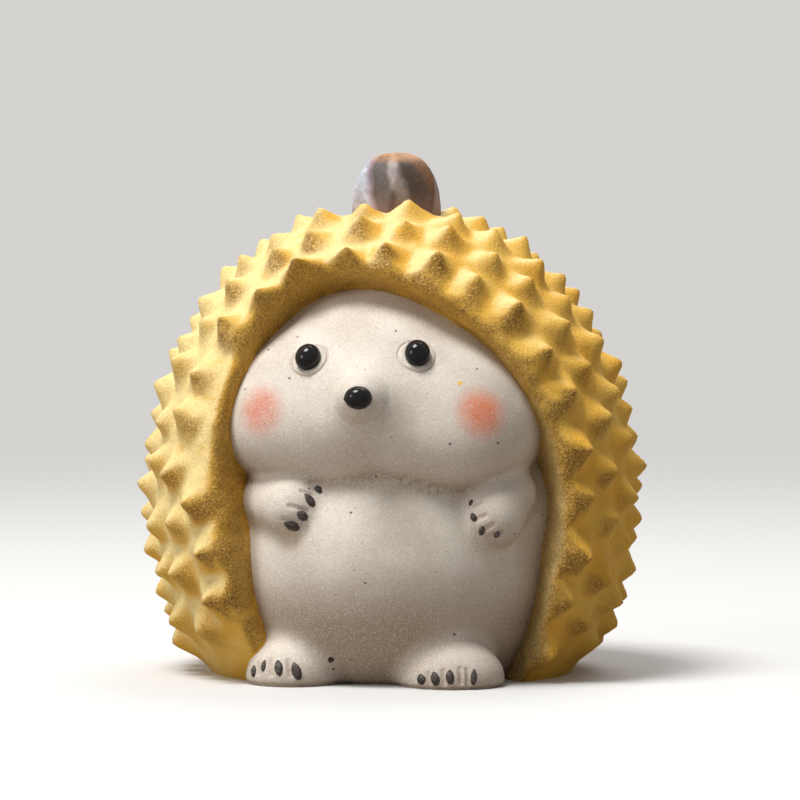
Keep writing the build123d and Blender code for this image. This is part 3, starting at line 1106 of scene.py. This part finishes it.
class HEDGEHOG_OT_clay_body(bpy.types.Operator):
    """Models the torso, the head, the arms and the feet from one lump and cuts them apart at their joints"""

    bl_idname = "hedgehog.clay_body"
    bl_label = "Clay body"

    def execute(self, context):
        sizes = sizes_of(context)
        work = fine_work(sizes)
        form = partial(worked_form, sizes=sizes, work=work)
        lump = clay_lump(sizes, BODY_VOXEL, "torso_clay")
        refine(lump, partial(near_work, sizes=sizes, work=work), cuts=2)
        refine(lump, partial(near_beads, sizes=sizes, work=work), cuts=1)
        put_corners(lump, press_to(form, corners(lump)))
        slice_level(lump, 0, keep_above=True)
        head = copy_of(lump, "head_clay")
        slice_level(head, NECK_Z, keep_above=True)
        slice_level(lump, NECK_Z, keep_above=False)
        clay = stoneware(finishes_of(context), sizes)
        pieces = [(lump, "torso"), (head, "head")]
        for side, word in SIDES.items():
            middles = {"arm": (SHOULDERS[side] + PAWS[side]) / 2, "foot": foot_centre(side)}
            for name, middle in middles.items():
                limb = copy_of(lump, f"{word}_{name}_clay")
                for piece, how in ((limb, "INTERSECT"), (lump, "DIFFERENCE")):
                    carve(piece, plain_ball(middle, LIMB_BALLS[name]), how)
                pieces.append((limb, f"{word}_{name}"))
        for piece, node in pieces:
            if node in VENTED:
                bore_vent(piece, form)
        for piece, node in pieces:
            smooth_faces(piece, form)
            clay_marks(piece, sizes, work)
            finish_piece(piece, node, clay)
        return {"FINISHED"}


def stray(row, place, phase):
    """A steady number from -1 to 1 that makes one spike differ from the next, as by hand."""
    return math.sin(STRAY_BY_ROW * row + STRAY_BY_PLACE * place + phase)


def husk_scale(sizes):
    """Half the husk's width, depth and height."""
    return np.array((sizes.coat_r, sizes.coat_r, sizes.coat_height))


def on_husk(directions, sizes):
    """Points of the husk's plain outside in those directions."""
    return COAT_PLACE + directions * husk_scale(sizes)


def husk_facing(directions, sizes):
    """The way the husk's plain outside faces in those directions."""
    return unit(directions / husk_scale(sizes))


def round_front(tilt, turn):
    """Directions from the middle of the coat, tilted from the front and turned round it."""
    return np.stack((np.sin(tilt) * np.cos(turn), -np.cos(tilt), np.sin(tilt) * np.sin(turn)), axis=-1)


def from_front(directions):
    """How far directions are tilted from the front, and turned round it on from straight below."""
    tilt = np.arccos(np.clip(-directions[:, 1], -1, 1))
    turn = np.arctan2(directions[:, 2], directions[:, 0])
    return tilt, np.where(turn < -math.pi / 2, turn + 2 * math.pi, turn)


def spikes_of(sizes, rim):
    """The spikes, in uneven staggered rows round the opening: where they stand, their heading and height."""
    found = []
    rows = int((180 - FIRST_ROW) / ROW_STEP) + 1
    for row in range(-SHORT_ROWS, rows):
        row_tilt = math.radians(FIRST_ROW + row * ROW_STEP)
        ring = math.pi * (sizes.coat_r + sizes.coat_height) * math.sin(row_tilt)
        count = max(1, round(ring / sizes.spike_pitch))
        for place in range(count):
            tilt = row_tilt + SPIKE_STRAY * stray(row, place, 0)
            turn = 2 * math.pi * (place + 0.5 * (row % 2)) / count
            turn += SPIKE_STRAY * stray(row, place, 1) / math.sin(row_tilt)
            rim_turn = (turn + math.pi / 2) % (2 * math.pi) - math.pi / 2
            clear_tilt = np.interp(rim_turn, rim["turn"], rim["tilt"]) + LIP_OUT + LIP_CLEAR
            if row < 0 and tilt < clear_tilt:
                continue
            toward = round_front(tilt, turn)
            stand = on_husk(toward, sizes)
            from_stem = math.hypot(*(stand - STEM_PLACE)[:2])
            if stand[2] > COAT_PLACE[2] and from_stem < SPIKES_FROM_STEM:
                continue
            if stand[2] < SPIKES_FROM_FLOOR:
                continue
            lean = [stray(row, place, phase) for phase in (2, 3, 4)]
            found.append((*toward, *lean, stray(row, place, 5)))
    found = np.array(found)
    heading = unit(husk_facing(found[:, :3], sizes) + SPIKE_LEAN * found[:, 3:6])
    tall = sizes.spike_height * (1 + SPIKE_UNEVEN * found[:, 6])
    return found[:, :3], heading, tall


def funnel(angles, forward):
    """Points of the opening's funnel, that far forward of where it has its named size."""
    wide = OPENING_HALF[0] + OPENING_FLARE * forward
    high = OPENING_HALF[1] + OPENING_FLARE * forward
    up = np.sin(angles)
    shoulder = np.where(np.cos(angles) < 0, *OPENING_SHOULDERS)
    brow = 1 + shoulder * np.sin(2 * angles) ** 2
    waist = 1 - OPENING_WAIST * share_of(-up, 0, OPENING_WAIST_FULL)
    full = np.where(up > 0, brow, waist)
    for count, deep in OPENING_WAVES:
        full = full + deep * np.sin(count * angles)
    z = OPENING_PLACE[2] + high * up
    tuck = OPENING_TUCK * ease(share_of(z, *OPENING_TUCK_Z))
    full = full - np.where(np.cos(angles) < 0, tuck, 0)
    lean = OPENING_LEAN * np.maximum(z - OPENING_LEAN_Z, 0) ** 2
    x = OPENING_PLACE[0] + lean + wide * full * np.cos(angles)
    return np.stack((x, OPENING_PLACE[1] - forward + 0 * x, z), axis=-1)


def rim_line(angles, sizes):
    """How far forward the funnel meets the husk's plain outside, at angles round the opening."""
    low, high = [np.full(angles.shape, forward) for forward in RIM_FORWARD]
    for _ in range(RIM_HALVINGS):
        middle = (low + high) / 2
        inside = (((funnel(angles, middle) - COAT_PLACE) / husk_scale(sizes)) ** 2).sum(axis=-1) < 1
        low, high = np.where(inside, middle, low), np.where(inside, high, middle)
    return low


def rim_table(sizes):
    """The rim as tables over the turn round the front: angle round the opening, forward reach and tilt."""
    angles = np.radians(np.linspace(*RIM_ANGLES))
    forward = rim_line(angles, sizes)
    toward = (funnel(angles, forward) - COAT_PLACE) / husk_scale(sizes)
    tilt = np.arccos(np.clip(-toward[:, 1], -1, 1))
    turn = np.unwrap(np.arctan2(toward[:, 2], toward[:, 0]))
    return {"turn": turn, "angle": angles, "forward": forward, "tilt": tilt}


def husk_net(sizes, rim, spikes):
    """A net of triangles over the coat, with a knot at each spike and rows of knots along its edges."""
    below = (-COAT_SKIRT - COAT_PLACE[2]) / sizes.coat_height
    turns = np.radians(np.linspace(*LIP_TURNS))
    tilts = np.interp(turns, rim["turn"], rim["tilt"])
    knots, edge = [], []
    for shift in (-LIP_IN, LIP_OUT):
        directions = round_front(tilts + shift, turns)
        standing = turns[directions[:, 2] >= below]
        row_turns = np.linspace(standing.min(), standing.max(), LIP_KNOTS)
        row = round_front(np.interp(row_turns, turns, tilts) + shift, row_turns)
        knots.extend(row)
        edge.append(row)
    ends = [math.atan2(row[1], row[0]) for row in (edge[1][0], edge[1][-1])]
    sweep = (ends[1] - ends[0]) % (2 * math.pi)
    skirt = [ends[0] + sweep * step / SKIRT_KNOTS for step in range(1, SKIRT_KNOTS)]
    wide = math.sqrt(1 - below**2)
    knots.extend(np.array((wide * math.cos(turn), wide * math.sin(turn), below)) for turn in skirt)
    tilt, turn = from_front(spikes)
    clear = tilt > np.interp(turn, rim["turn"], rim["tilt"]) + LIP_OUT + LIP_CLEAR
    knots.extend(spikes[clear])
    deselect_all()
    bpy.ops.mesh.primitive_plane_add(size=1)
    net = in_hand()
    net.data.clear_geometry()
    net.data.from_pydata([tuple(knot) for knot in knots], [], [])
    open_all(net)
    bpy.ops.mesh.convex_hull()
    bpy.ops.object.mode_set(mode="OBJECT")
    front = {tuple(np.round(knot, KNOT_DIGITS)) for knot in edge[0]}
    caps = []
    for face in net.data.polygons:
        places = [net.data.vertices[index].co for index in face.vertices]
        across = all(tuple(np.round(np.array(place), KNOT_DIGITS)) in front for place in places)
        under = all(place.z < below + SKIRT_NEAR for place in places)
        caps.append(across or under)
    choose_faces(net, caps)
    bpy.ops.mesh.delete(type="FACE")
    bpy.ops.mesh.select_all(action="SELECT")
    bpy.ops.mesh.normals_make_consistent(inside=False)
    bpy.ops.mesh.subdivide(number_cuts=COAT_CUTS)
    bpy.ops.object.mode_set(mode="OBJECT")
    return net


def lip_and_husk(directions, sizes, rim):
    """The coat's surface before its spikes, and how far each point is over the lip."""
    tilt, turn = from_front(directions)
    edge_tilt = np.interp(turn, rim["turn"], rim["tilt"])
    angle = np.interp(turn, rim["turn"], rim["angle"])
    forward = np.interp(turn, rim["turn"], rim["forward"])
    over = share_of(tilt - edge_tilt, -LIP_IN, LIP_OUT)
    outside = on_husk(directions, sizes)
    shoulder = on_husk(round_front(edge_tilt + LIP_OUT, turn), sizes)
    corner = funnel(angle, forward)
    wall = funnel(angle, forward - LIP_ROUND)
    inner = funnel(angle, np.full(forward.shape, LIP_ROOT))
    low = share_of(over, 0, LIP_SPLIT)[:, None]
    high = share_of(over, LIP_SPLIT, 1)[:, None]
    below = inner + (wall - inner) * low
    bend = (1 - high) ** 2 * wall + 2 * high * (1 - high) * corner + high**2 * shoulder
    lip = np.where((over < LIP_SPLIT)[:, None], below, bend)
    points = np.where((over < 1)[:, None], lip, outside)
    return points, over


def raise_spikes(points, directions, over, spikes, heading, tall, sizes):
    """Draws the spikes up out of the surface, and says how far up its spike each point is."""
    stands = on_husk(spikes, sizes)
    nearest = np.empty((len(points), 2))
    owner = np.empty(len(points), dtype=int)
    for start in range(0, len(points), POINTS_AT_ONCE):
        some = slice(start, start + POINTS_AT_ONCE)
        part = on_husk(directions[some], sizes)
        gaps = np.linalg.norm(part[:, None, :] - stands[None], axis=2)
        order = np.argpartition(gaps, 1, axis=1)[:, :2]
        nearest[some] = np.sort(np.take_along_axis(gaps, order, axis=1), axis=1)
        owner[some] = gaps.argmin(axis=1)
    share = 2 * nearest[:, 0] / nearest.sum(axis=1)
    share = np.maximum(share, nearest[:, 0] / SPIKE_REACH)
    blunt = np.sqrt(share**2 + SPIKE_BLUNT**2) - SPIKE_BLUNT
    up = np.clip(1 - blunt, 0, 1) ** SPIKE_HOLLOW * ease(share_of(over, *SPIKE_RISE))
    return points + heading[owner] * (tall[owner] * up)[:, None], up


def soften(coat):
    """Rubs the coat over once and leaves it a little uneven, as fingers do."""
    rub(coat, COAT_RUB)
    dents = bpy.data.textures.new("finger dents", "CLOUDS")
    dents.noise_scale = DENT_SIZE
    dents.noise_depth = 1
    press = coat.modifiers.new("press", "DISPLACE")
    press.texture = dents
    press.texture_coords = "LOCAL"
    press.strength = DENT_DEPTH
    press.mid_level = 0.5
    apply_all(coat)


def spread(piece, values):
    """Evens out numbers over a mesh, each vertex taking its share from the ones beside it."""
    pairs = np.empty(len(piece.data.edges) * 2, dtype=int)
    piece.data.edges.foreach_get("vertices", pairs)
    first, second = pairs[0::2], pairs[1::2]
    beside = np.bincount(pairs, minlength=len(values))
    for _ in range(SPREAD_ROUNDS):
        total = np.bincount(first, values[second], len(values))
        total += np.bincount(second, values[first], len(values))
        values = (values + total / beside) / 2
    return values


def along(ways, facing):
    """The parts of directions that lie along a surface, at unit length."""
    return unit(ways - (ways * facing).sum(axis=1)[:, None] * facing)


def surface_marks(coat, directions, up, over, sizes, rim):
    """What the coat's finish reads at each point: spikes, lip, seam, painted shade with some stain on the
    flanks that face the opening, and painted light with a pale dusting on the tops that face the upper left.
    """
    facing = np.empty(len(coat.data.vertices) * 3)
    coat.data.vertices.foreach_get("normal", facing)
    facing = facing.reshape(-1, 3)
    plain = husk_facing(directions, sizes)
    # painted shade, with some stain, where a flank leans toward the face and downward
    inward = along(SHADE_AND_STAIN_TOWARD - corners(coat), plain) * SHADE_AND_STAIN_INWARD
    down = along(np.broadcast_to((0, 0, -1.0), plain.shape), plain) * SHADE_AND_STAIN_DOWN
    lean = ((facing - plain) * along(inward + down, plain)).sum(axis=1)
    stain = np.clip(SHADE_AND_STAIN_GAIN * lean - SHADE_AND_STAIN_FROM, 0, 1)
    stain = stain * (SHADE_AND_STAIN_ON_LIP + (1 - SHADE_AND_STAIN_ON_LIP) * share_of(over, *SHADE_AND_STAIN_PAST_LIP))
    tilt, turn = from_front(directions)
    away = np.maximum(tilt - np.interp(turn, rim["turn"], rim["tilt"]), 0)
    stain = stain * (SHADE_AND_STAIN_REST + (1 - SHADE_AND_STAIN_REST) * bell(away, SHADE_AND_STAIN_REACH))
    return {
        "spike": up,
        "over_lip": over,
        "stain": spread(coat, stain),
        # painted light: faces turned to the upper left are paler, partly a real dusting
        "dust_and_light": np.clip(facing @ unit(DUST_AND_LIGHT_FROM), 0, 1),
        "seam": bell(clay_form(corners(coat), sizes), SEAM_WIDTH),
    }


def mark_surface(coat, points, marks):
    """Puts the marks on the finished mesh, each vertex taking those of the point it came from."""
    tree = KDTree(len(points))
    for index, point in enumerate(points):
        tree.insert(point, index)
    tree.balance()
    source = np.array([tree.find(vertex.co)[1] for vertex in coat.data.vertices])
    for name, values in marks.items():
        note(coat, name, values[source])


class HEDGEHOG_OT_spiny_coat(bpy.types.Operator):
    """Models the coat: a husk with its lip rolled round the face and a spike drawn up from each knot"""

    bl_idname = "hedgehog.spiny_coat"
    bl_label = "Spiny coat"

    def execute(self, context):
        sizes = sizes_of(context)
        rim = rim_table(sizes)
        spikes, heading, tall = spikes_of(sizes, rim)
        coat = call(husk_net(sizes, rim, spikes), "spiny_coat_slip")
        directions = unit(corners(coat))
        points, over = lip_and_husk(directions, sizes, rim)
        points, up = raise_spikes(points, directions, over, spikes, heading, tall, sizes)
        put_corners(coat, points)
        soften(coat)
        points = corners(coat)
        marks = surface_marks(coat, directions, up, over, sizes, rim)
        take_up(coat)
        bpy.ops.object.mode_set(mode="EDIT")
        bpy.ops.mesh.select_mode(type="EDGE")
        bpy.ops.mesh.select_all(action="DESELECT")
        bpy.ops.mesh.select_non_manifold()
        bpy.ops.mesh.extrude_edges_move()
        bpy.ops.mesh.select_mode(type="VERT")
        bpy.ops.mesh.merge(type="CENTER")
        bpy.ops.object.mode_set(mode="OBJECT")
        chosen = [vertex for vertex in coat.data.vertices if vertex.select]
        if len(chosen) != 1:
            raise RuntimeError("the coat's edge was not drawn together to one point")
        chosen[0].co = (0, 0, -2 * COAT_SKIRT)
        carve(coat, clay_lump(sizes, CUTTER_VOXEL, "hollow"))
        slice_level(coat, 0, keep_above=True)
        mark_surface(coat, points, marks)
        smooth_faces(coat)
        finish_piece(coat, "spiny_coat", yellow_slip(finishes_of(context)))
        return {"FINISHED"}


def turned_ball(name, place, axes, shape, segments, rings):
    """A ball in the frame of three axes, shaped by a function of its points while it still has unit size."""
    deselect_all()
    bpy.ops.mesh.primitive_uv_sphere_add(segments=segments, ring_count=rings, radius=1)
    made = call(in_hand(), name)
    put_corners(made, place + shape(corners(made)) @ np.array(axes))
    take_up(made)
    bpy.ops.object.shade_smooth()
    return made


class HEDGEHOG_OT_beads(bpy.types.Operator):
    """Models the eyes and the nose as glazed beads pressed into their seats"""

    bl_idname = "hedgehog.beads"
    bl_label = "Eyes and nose"

    def execute(self, context):
        sizes = sizes_of(context)
        work = fine_work(sizes)
        glaze = black_glaze(finishes_of(context))
        for word, (place, facing) in zip(EYE_PIXELS, work["eyes"]):
            eye = turned_ball(
                f"{word}_eye_bead",
                place - EYE_SINK * facing,
                surface_axes(facing),
                lambda points: points * EYE_ROUND * sizes.eye_r,
                *EYE_MESH,
            )
            finish_piece(eye, f"{word}_eye", glaze)

        def nose_shape(points):
            toward = unit(np.array(NOSE_POINT))
            drawn = NOSE_POINT_LONG * bell(ball(points, toward, 0), NOSE_POINT_WIDE)
            return (points + drawn[:, None] * toward) * NOSE_ROUND * sizes.nose_r

        facing = about_front(FRONT_TURN, 1.0, 0.0)
        nose = turned_ball("nose_bead", work["nose"], surface_axes(facing), nose_shape, *NOSE_MESH)
        finish_piece(nose, "nose", glaze)
        return {"FINISHED"}


class HEDGEHOG_OT_claws(bpy.types.Operator):
    """Models one claw and presses a copy of it into each digit of the paws and the feet"""

    bl_idname = "hedgehog.claws"
    bl_label = "Claws"

    def execute(self, context):
        sizes = sizes_of(context)
        slip = claw_slip(finishes_of(context))
        form = partial(clay_form, sizes=sizes)

        def seed_shape(points):
            taper = 1 - CLAW_TAPER * np.clip(points[:, 1], 0, 1) ** 2
            return points * np.stack((taper, np.ones(len(points)), taper), axis=1)

        seed = turned_ball("seed", np.zeros(3), np.eye(3), seed_shape, *CLAW_MESH)
        plain = corners(seed)
        _, right, up, _ = camera_frame()
        for node, rows in CLAWS.items():
            places = seen_at([row[0] for row in rows], form)
            facings = unit(slopes(form, places))
            leans = np.radians([row[3] for row in rows])[:, None]
            ways = along(right * np.sin(leans) + up * np.cos(leans), facings)
            copies = []
            for (_, long, wide, _), place, facing, way in zip(rows, places, facings, ways):
                half = np.array((wide * MM, long * MM, CLAW_THICK)) / 2
                axes = np.array((np.cross(way, facing), way, facing))
                claw = copy_of(seed, node)
                put_corners(claw, place - CLAW_SINK * facing + (plain * half) @ axes)
                copies.append(claw)
            claws = join(copies, f"{node}_seeds")
            finish_piece(claws, node, slip)
        bpy.data.objects.remove(seed)
        return {"FINISHED"}


class HEDGEHOG_OT_stem(bpy.types.Operator):
    """Models the stem as a blunt stub with soft facets"""

    bl_idname = "hedgehog.stem"
    bl_label = "Stem"

    def execute(self, context):
        sizes = sizes_of(context)

        def stem_shape(points):
            height = (points[:, 2] + 1) / 2
            top = sizes.stem_length * height
            turn = np.arctan2(points[:, 1], points[:, 0])
            sector = 2 * math.pi / STEM_SIDES
            within = (turn - STEM_FACET_TURN - STEM_TWIST * height) % sector - sector / 2
            facet = 1 - STEM_FACET * (1 - math.cos(sector / 2) / np.cos(within))
            dome = share_of(height, STEM_DOME_FROM, 1) ** STEM_DOME
            foot = np.clip(1 - height / STEM_FOOT, 0, 1) ** 2
            radius = sizes.stem_r * facet * (1 - dome) ** STEM_DOME_FULL * np.sqrt(1 - foot)
            return np.stack((radius * np.cos(turn), radius * np.sin(turn), top), axis=1)

        stem = turned_ball("stem_stub", STEM_PLACE, np.eye(3), stem_shape, *STEM_MESH)
        note(stem, "height", (corners(stem) - STEM_PLACE)[:, 2] / sizes.stem_length)
        finish_piece(stem, "stem", stem_glaze(finishes_of(context)))
        return {"FINISHED"}


def pale_floor(shade):
    """A pale floor that takes the object's shadow and fades into the background further out."""
    material, wires, shader = new_finish("pale floor")
    straight = wires.add("ShaderNodeLightPath").outputs["Is Camera Ray"]
    base = wires.mix(straight, opaque(FLOOR_BOUNCE), opaque(shade))
    set_finish(wires, shader, Base_Color=base, Roughness=FLOOR_ROUGH)
    far = wires.spot(wires.place(), (0, 0, 0), *FLOOR_FADE)
    glow = wires.add("ShaderNodeEmission", {"Color": opaque(BACKDROP), "Strength": 1.0}).outputs[0]
    seen = wires.add("ShaderNodeMixShader", {0: far, 1: shader.outputs[0], 2: glow}).outputs[0]
    wires.tree.links.new(seen, wires.tree.nodes["Material Output"].inputs["Surface"])
    return material


def soft_room(world):
    """Even light from all round, and a plain backdrop where the eye looks past the floor."""
    world.use_nodes = True
    wires = Wiring(world.node_tree)
    light = world.node_tree.nodes["Background"]
    light.inputs["Color"].default_value = opaque(ROOM_LIGHT)
    light.inputs["Strength"].default_value = ROOM_STRENGTH
    backdrop = wires.add("ShaderNodeBackground", {"Color": opaque(BACKDROP), "Strength": 1.0})
    ray = wires.add("ShaderNodeLightPath").outputs
    seen = wires.math("MAXIMUM", ray["Is Camera Ray"], ray["Is Glossy Ray"])
    seen = wires.math("MAXIMUM", seen, ray["Is Transmission Ray"])
    both = wires.add("ShaderNodeMixShader", {0: seen, 1: light.outputs[0], 2: backdrop.outputs[0]})
    wires.tree.links.new(both.outputs[0], world.node_tree.nodes["World Output"].inputs["Surface"])


class HEDGEHOG_OT_stage(bpy.types.Operator):
    """Sets a pale floor, soft lamps and the camera"""

    bl_idname = "hedgehog.stage"
    bl_label = "Stage"

    def execute(self, context):
        deselect_all()
        bpy.ops.mesh.primitive_plane_add(size=FLOOR_SIZE)
        floor = in_hand()
        floor.name = "floor"
        floor.data.materials.append(pale_floor(FLOOR_SHADE))
        world = context.scene.world or bpy.data.worlds.new("soft room")
        context.scene.world = world
        soft_room(world)
        for name, place, size, power in LAMPS:
            bpy.ops.object.light_add(type="AREA", location=place)
            lamp = in_hand()
            lamp.name = name
            lamp.data.size = size
            lamp.data.energy = power
            aim = Vector((0, 0, CAMERA_Z)) - Vector(place)
            lamp.rotation_euler = aim.to_track_quat("-Z", "Y").to_euler()
        place, right, up, back = camera_frame()
        bpy.ops.object.camera_add(location=place)
        camera = in_hand()
        camera.rotation_euler = Matrix((right, up, back)).transposed().to_euler()
        camera.data.lens = CAMERA_LENS
        camera.data.sensor_width = CAMERA_SENSOR
        camera.data.clip_start = CAMERA_NEAR
        camera.data.clip_end = 2 * FLOOR_SIZE
        context.scene.camera = camera
        context.scene.view_settings.view_transform = "Standard"
        return {"FINISHED"}


def length(name, description, default):
    """A size on the panel."""
    return FloatProperty(
        name=name,
        description=description,
        default=default,
        min=0.0,
        unit="LENGTH",
        subtype="DISTANCE",
        precision=5,
    )


def colour(name, description, default):
    """A colour on the panel."""
    return FloatVectorProperty(
        name=name,
        description=description,
        default=default,
        size=3,
        min=0.0,
        max=1.0,
        subtype="COLOR",
    )


class HedgehogSizes(bpy.types.PropertyGroup):
    """Sizes that a maker would change"""

    belly_r: length("Belly radius", "Radius of the torso's ball", 19.9 * MM)
    belly_z: length("Belly height", "Height of the middle of the torso's ball", 13.2 * MM)
    paunch_r: length("Paunch radius", "Radius of the bulge at the front of the belly", 16.8 * MM)
    head_r: length("Head radius", "Radius of the head's ball", 20.3 * MM)
    head_z: length("Head height", "Height of the middle of the head's ball", 26.2 * MM)
    cheek_r: length("Cheek radius", "Radius of each cheek", 7.6 * MM)
    coat_r: length("Coat radius", "Half the coat's width, without its spikes", 27.5 * MM)
    coat_height: length("Coat height", "Half the coat's height, without its spikes", 32.5 * MM)
    spike_height: length("Spike height", "How far a spike stands out", 2.3 * MM)
    spike_pitch: length("Spike pitch", "Distance from spike to spike along a row", 5.52 * MM)
    eye_r: length("Eye radius", "Radius of each eye's bead", 1.5 * MM)
    nose_r: length("Nose radius", "Half the width of the nose", 1.5 * MM)
    stem_r: length("Stem radius", "Radius of the stem at its foot", 5.5 * MM)
    stem_length: length("Stem length", "Length of the stem with its seat", 9.0 * MM)


class HedgehogFinishes(bpy.types.PropertyGroup):
    """Colours that a maker would change"""

    clay: colour("Clay", "Pale stoneware of the body", (0.76, 0.69, 0.60))
    # also the colour of the painted shade under the head, in the chin's crease and low on the belly
    dark_clay_and_shade: colour("Browner clay", "Clay where it is darker", (0.37, 0.27, 0.185))
    sand: colour("Sand", "Pale grains in the clay", (0.86, 0.83, 0.76))
    speck: colour("Specks", "Dark specks in the clay", (0.05, 0.035, 0.028))
    stain: colour("Paw stain", "Stain under the right paw", (0.47, 0.34, 0.19))
    # the colour of the painted shade in the grooves and along the eye rims
    groove: colour("Worked lines", "Grooves and rim lines", (0.36, 0.22, 0.17))
    blush_right: colour("Right blush", "Blush of the right cheek", (0.70, 0.25, 0.16))
    blush_left: colour("Left blush", "Blush of the left cheek", (0.80, 0.20, 0.08))
    slip: colour("Slip", "Yellow slip of the coat", (0.80, 0.49, 0.075))
    slip_deep: colour("Deep slip", "Slip where it is thick", (0.76, 0.40, 0.025))
    # the colour of the painted light, with a pale dusting, on the sides that face the upper left
    slip_dusted_and_lit: colour("Dusted slip", "Slip where it is dusted pale", (0.90, 0.74, 0.35))
    # the colour of the painted shade, with some stain, on the flanks facing the opening and on the lip
    slip_shade_and_stain: colour("Stained slip", "Slip in hollows and under spikes", (0.21, 0.095, 0.012))
    slip_sand: colour("Golden sand", "Pale grains in the slip", (0.80, 0.50, 0.10))
    slip_dark: colour("Slip specks", "Dark specks in the slip", (0.16, 0.07, 0.012))
    tip: colour("Worn tips", "Tips of the spikes", (0.55, 0.25, 0.04))
    stem_pink: colour("Stem foot", "Pinkish glaze low on the stem", (0.34, 0.19, 0.165))
    stem_dark: colour("Stem mottling", "Dark mottling of the stem's glaze", (0.06, 0.042, 0.035))
    stem_rim: colour("Stem rim", "Rust round the stem's top", (0.50, 0.25, 0.11))
    black: colour("Black glaze", "Eyes and nose", (0.006, 0.006, 0.007))
    black_thin: colour("Thin black", "Black glaze where it is thin", (0.018, 0.014, 0.012))
    claw: colour("Claws", "Dark slip of the claws", (0.045, 0.034, 0.03))


class HEDGEHOG_PT_panel(bpy.types.Panel):
    """Lists what makes the figure"""

    bl_idname = "HEDGEHOG_PT_panel"
    bl_label = "Stoneware hedgehog"
    bl_space_type = "VIEW_3D"
    bl_region_type = "UI"
    bl_category = "Hedgehog"

    def draw(self, context):
        for operator in OPERATORS:
            self.layout.operator(operator.bl_idname)


OPERATORS = (
    HEDGEHOG_OT_clay_body,
    HEDGEHOG_OT_spiny_coat,
    HEDGEHOG_OT_stem,
    HEDGEHOG_OT_beads,
    HEDGEHOG_OT_claws,
    HEDGEHOG_OT_stage,
)
CLASSES = (HedgehogSizes, HedgehogFinishes, *OPERATORS, HEDGEHOG_PT_panel)


def register():
    """Adds the classes and the scene's settings."""
    for made in CLASSES:
        bpy.utils.register_class(made)
    bpy.types.Scene.hedgehog_sizes = PointerProperty(type=HedgehogSizes)
    bpy.types.Scene.hedgehog_finishes = PointerProperty(type=HedgehogFinishes)


def unregister():
    """Takes them away again."""
    del bpy.types.Scene.hedgehog_finishes
    del bpy.types.Scene.hedgehog_sizes
    for made in reversed(CLASSES):
        bpy.utils.unregister_class(made)


def main():
    """Builds the dressed figure and its stage."""
    register()
    bpy.ops.hedgehog.clay_body()
    bpy.ops.hedgehog.spiny_coat()
    bpy.ops.hedgehog.stem()
    bpy.ops.hedgehog.beads()
    bpy.ops.hedgehog.claws()
    bpy.ops.hedgehog.stage()


if __name__ == "__main__":
    main()
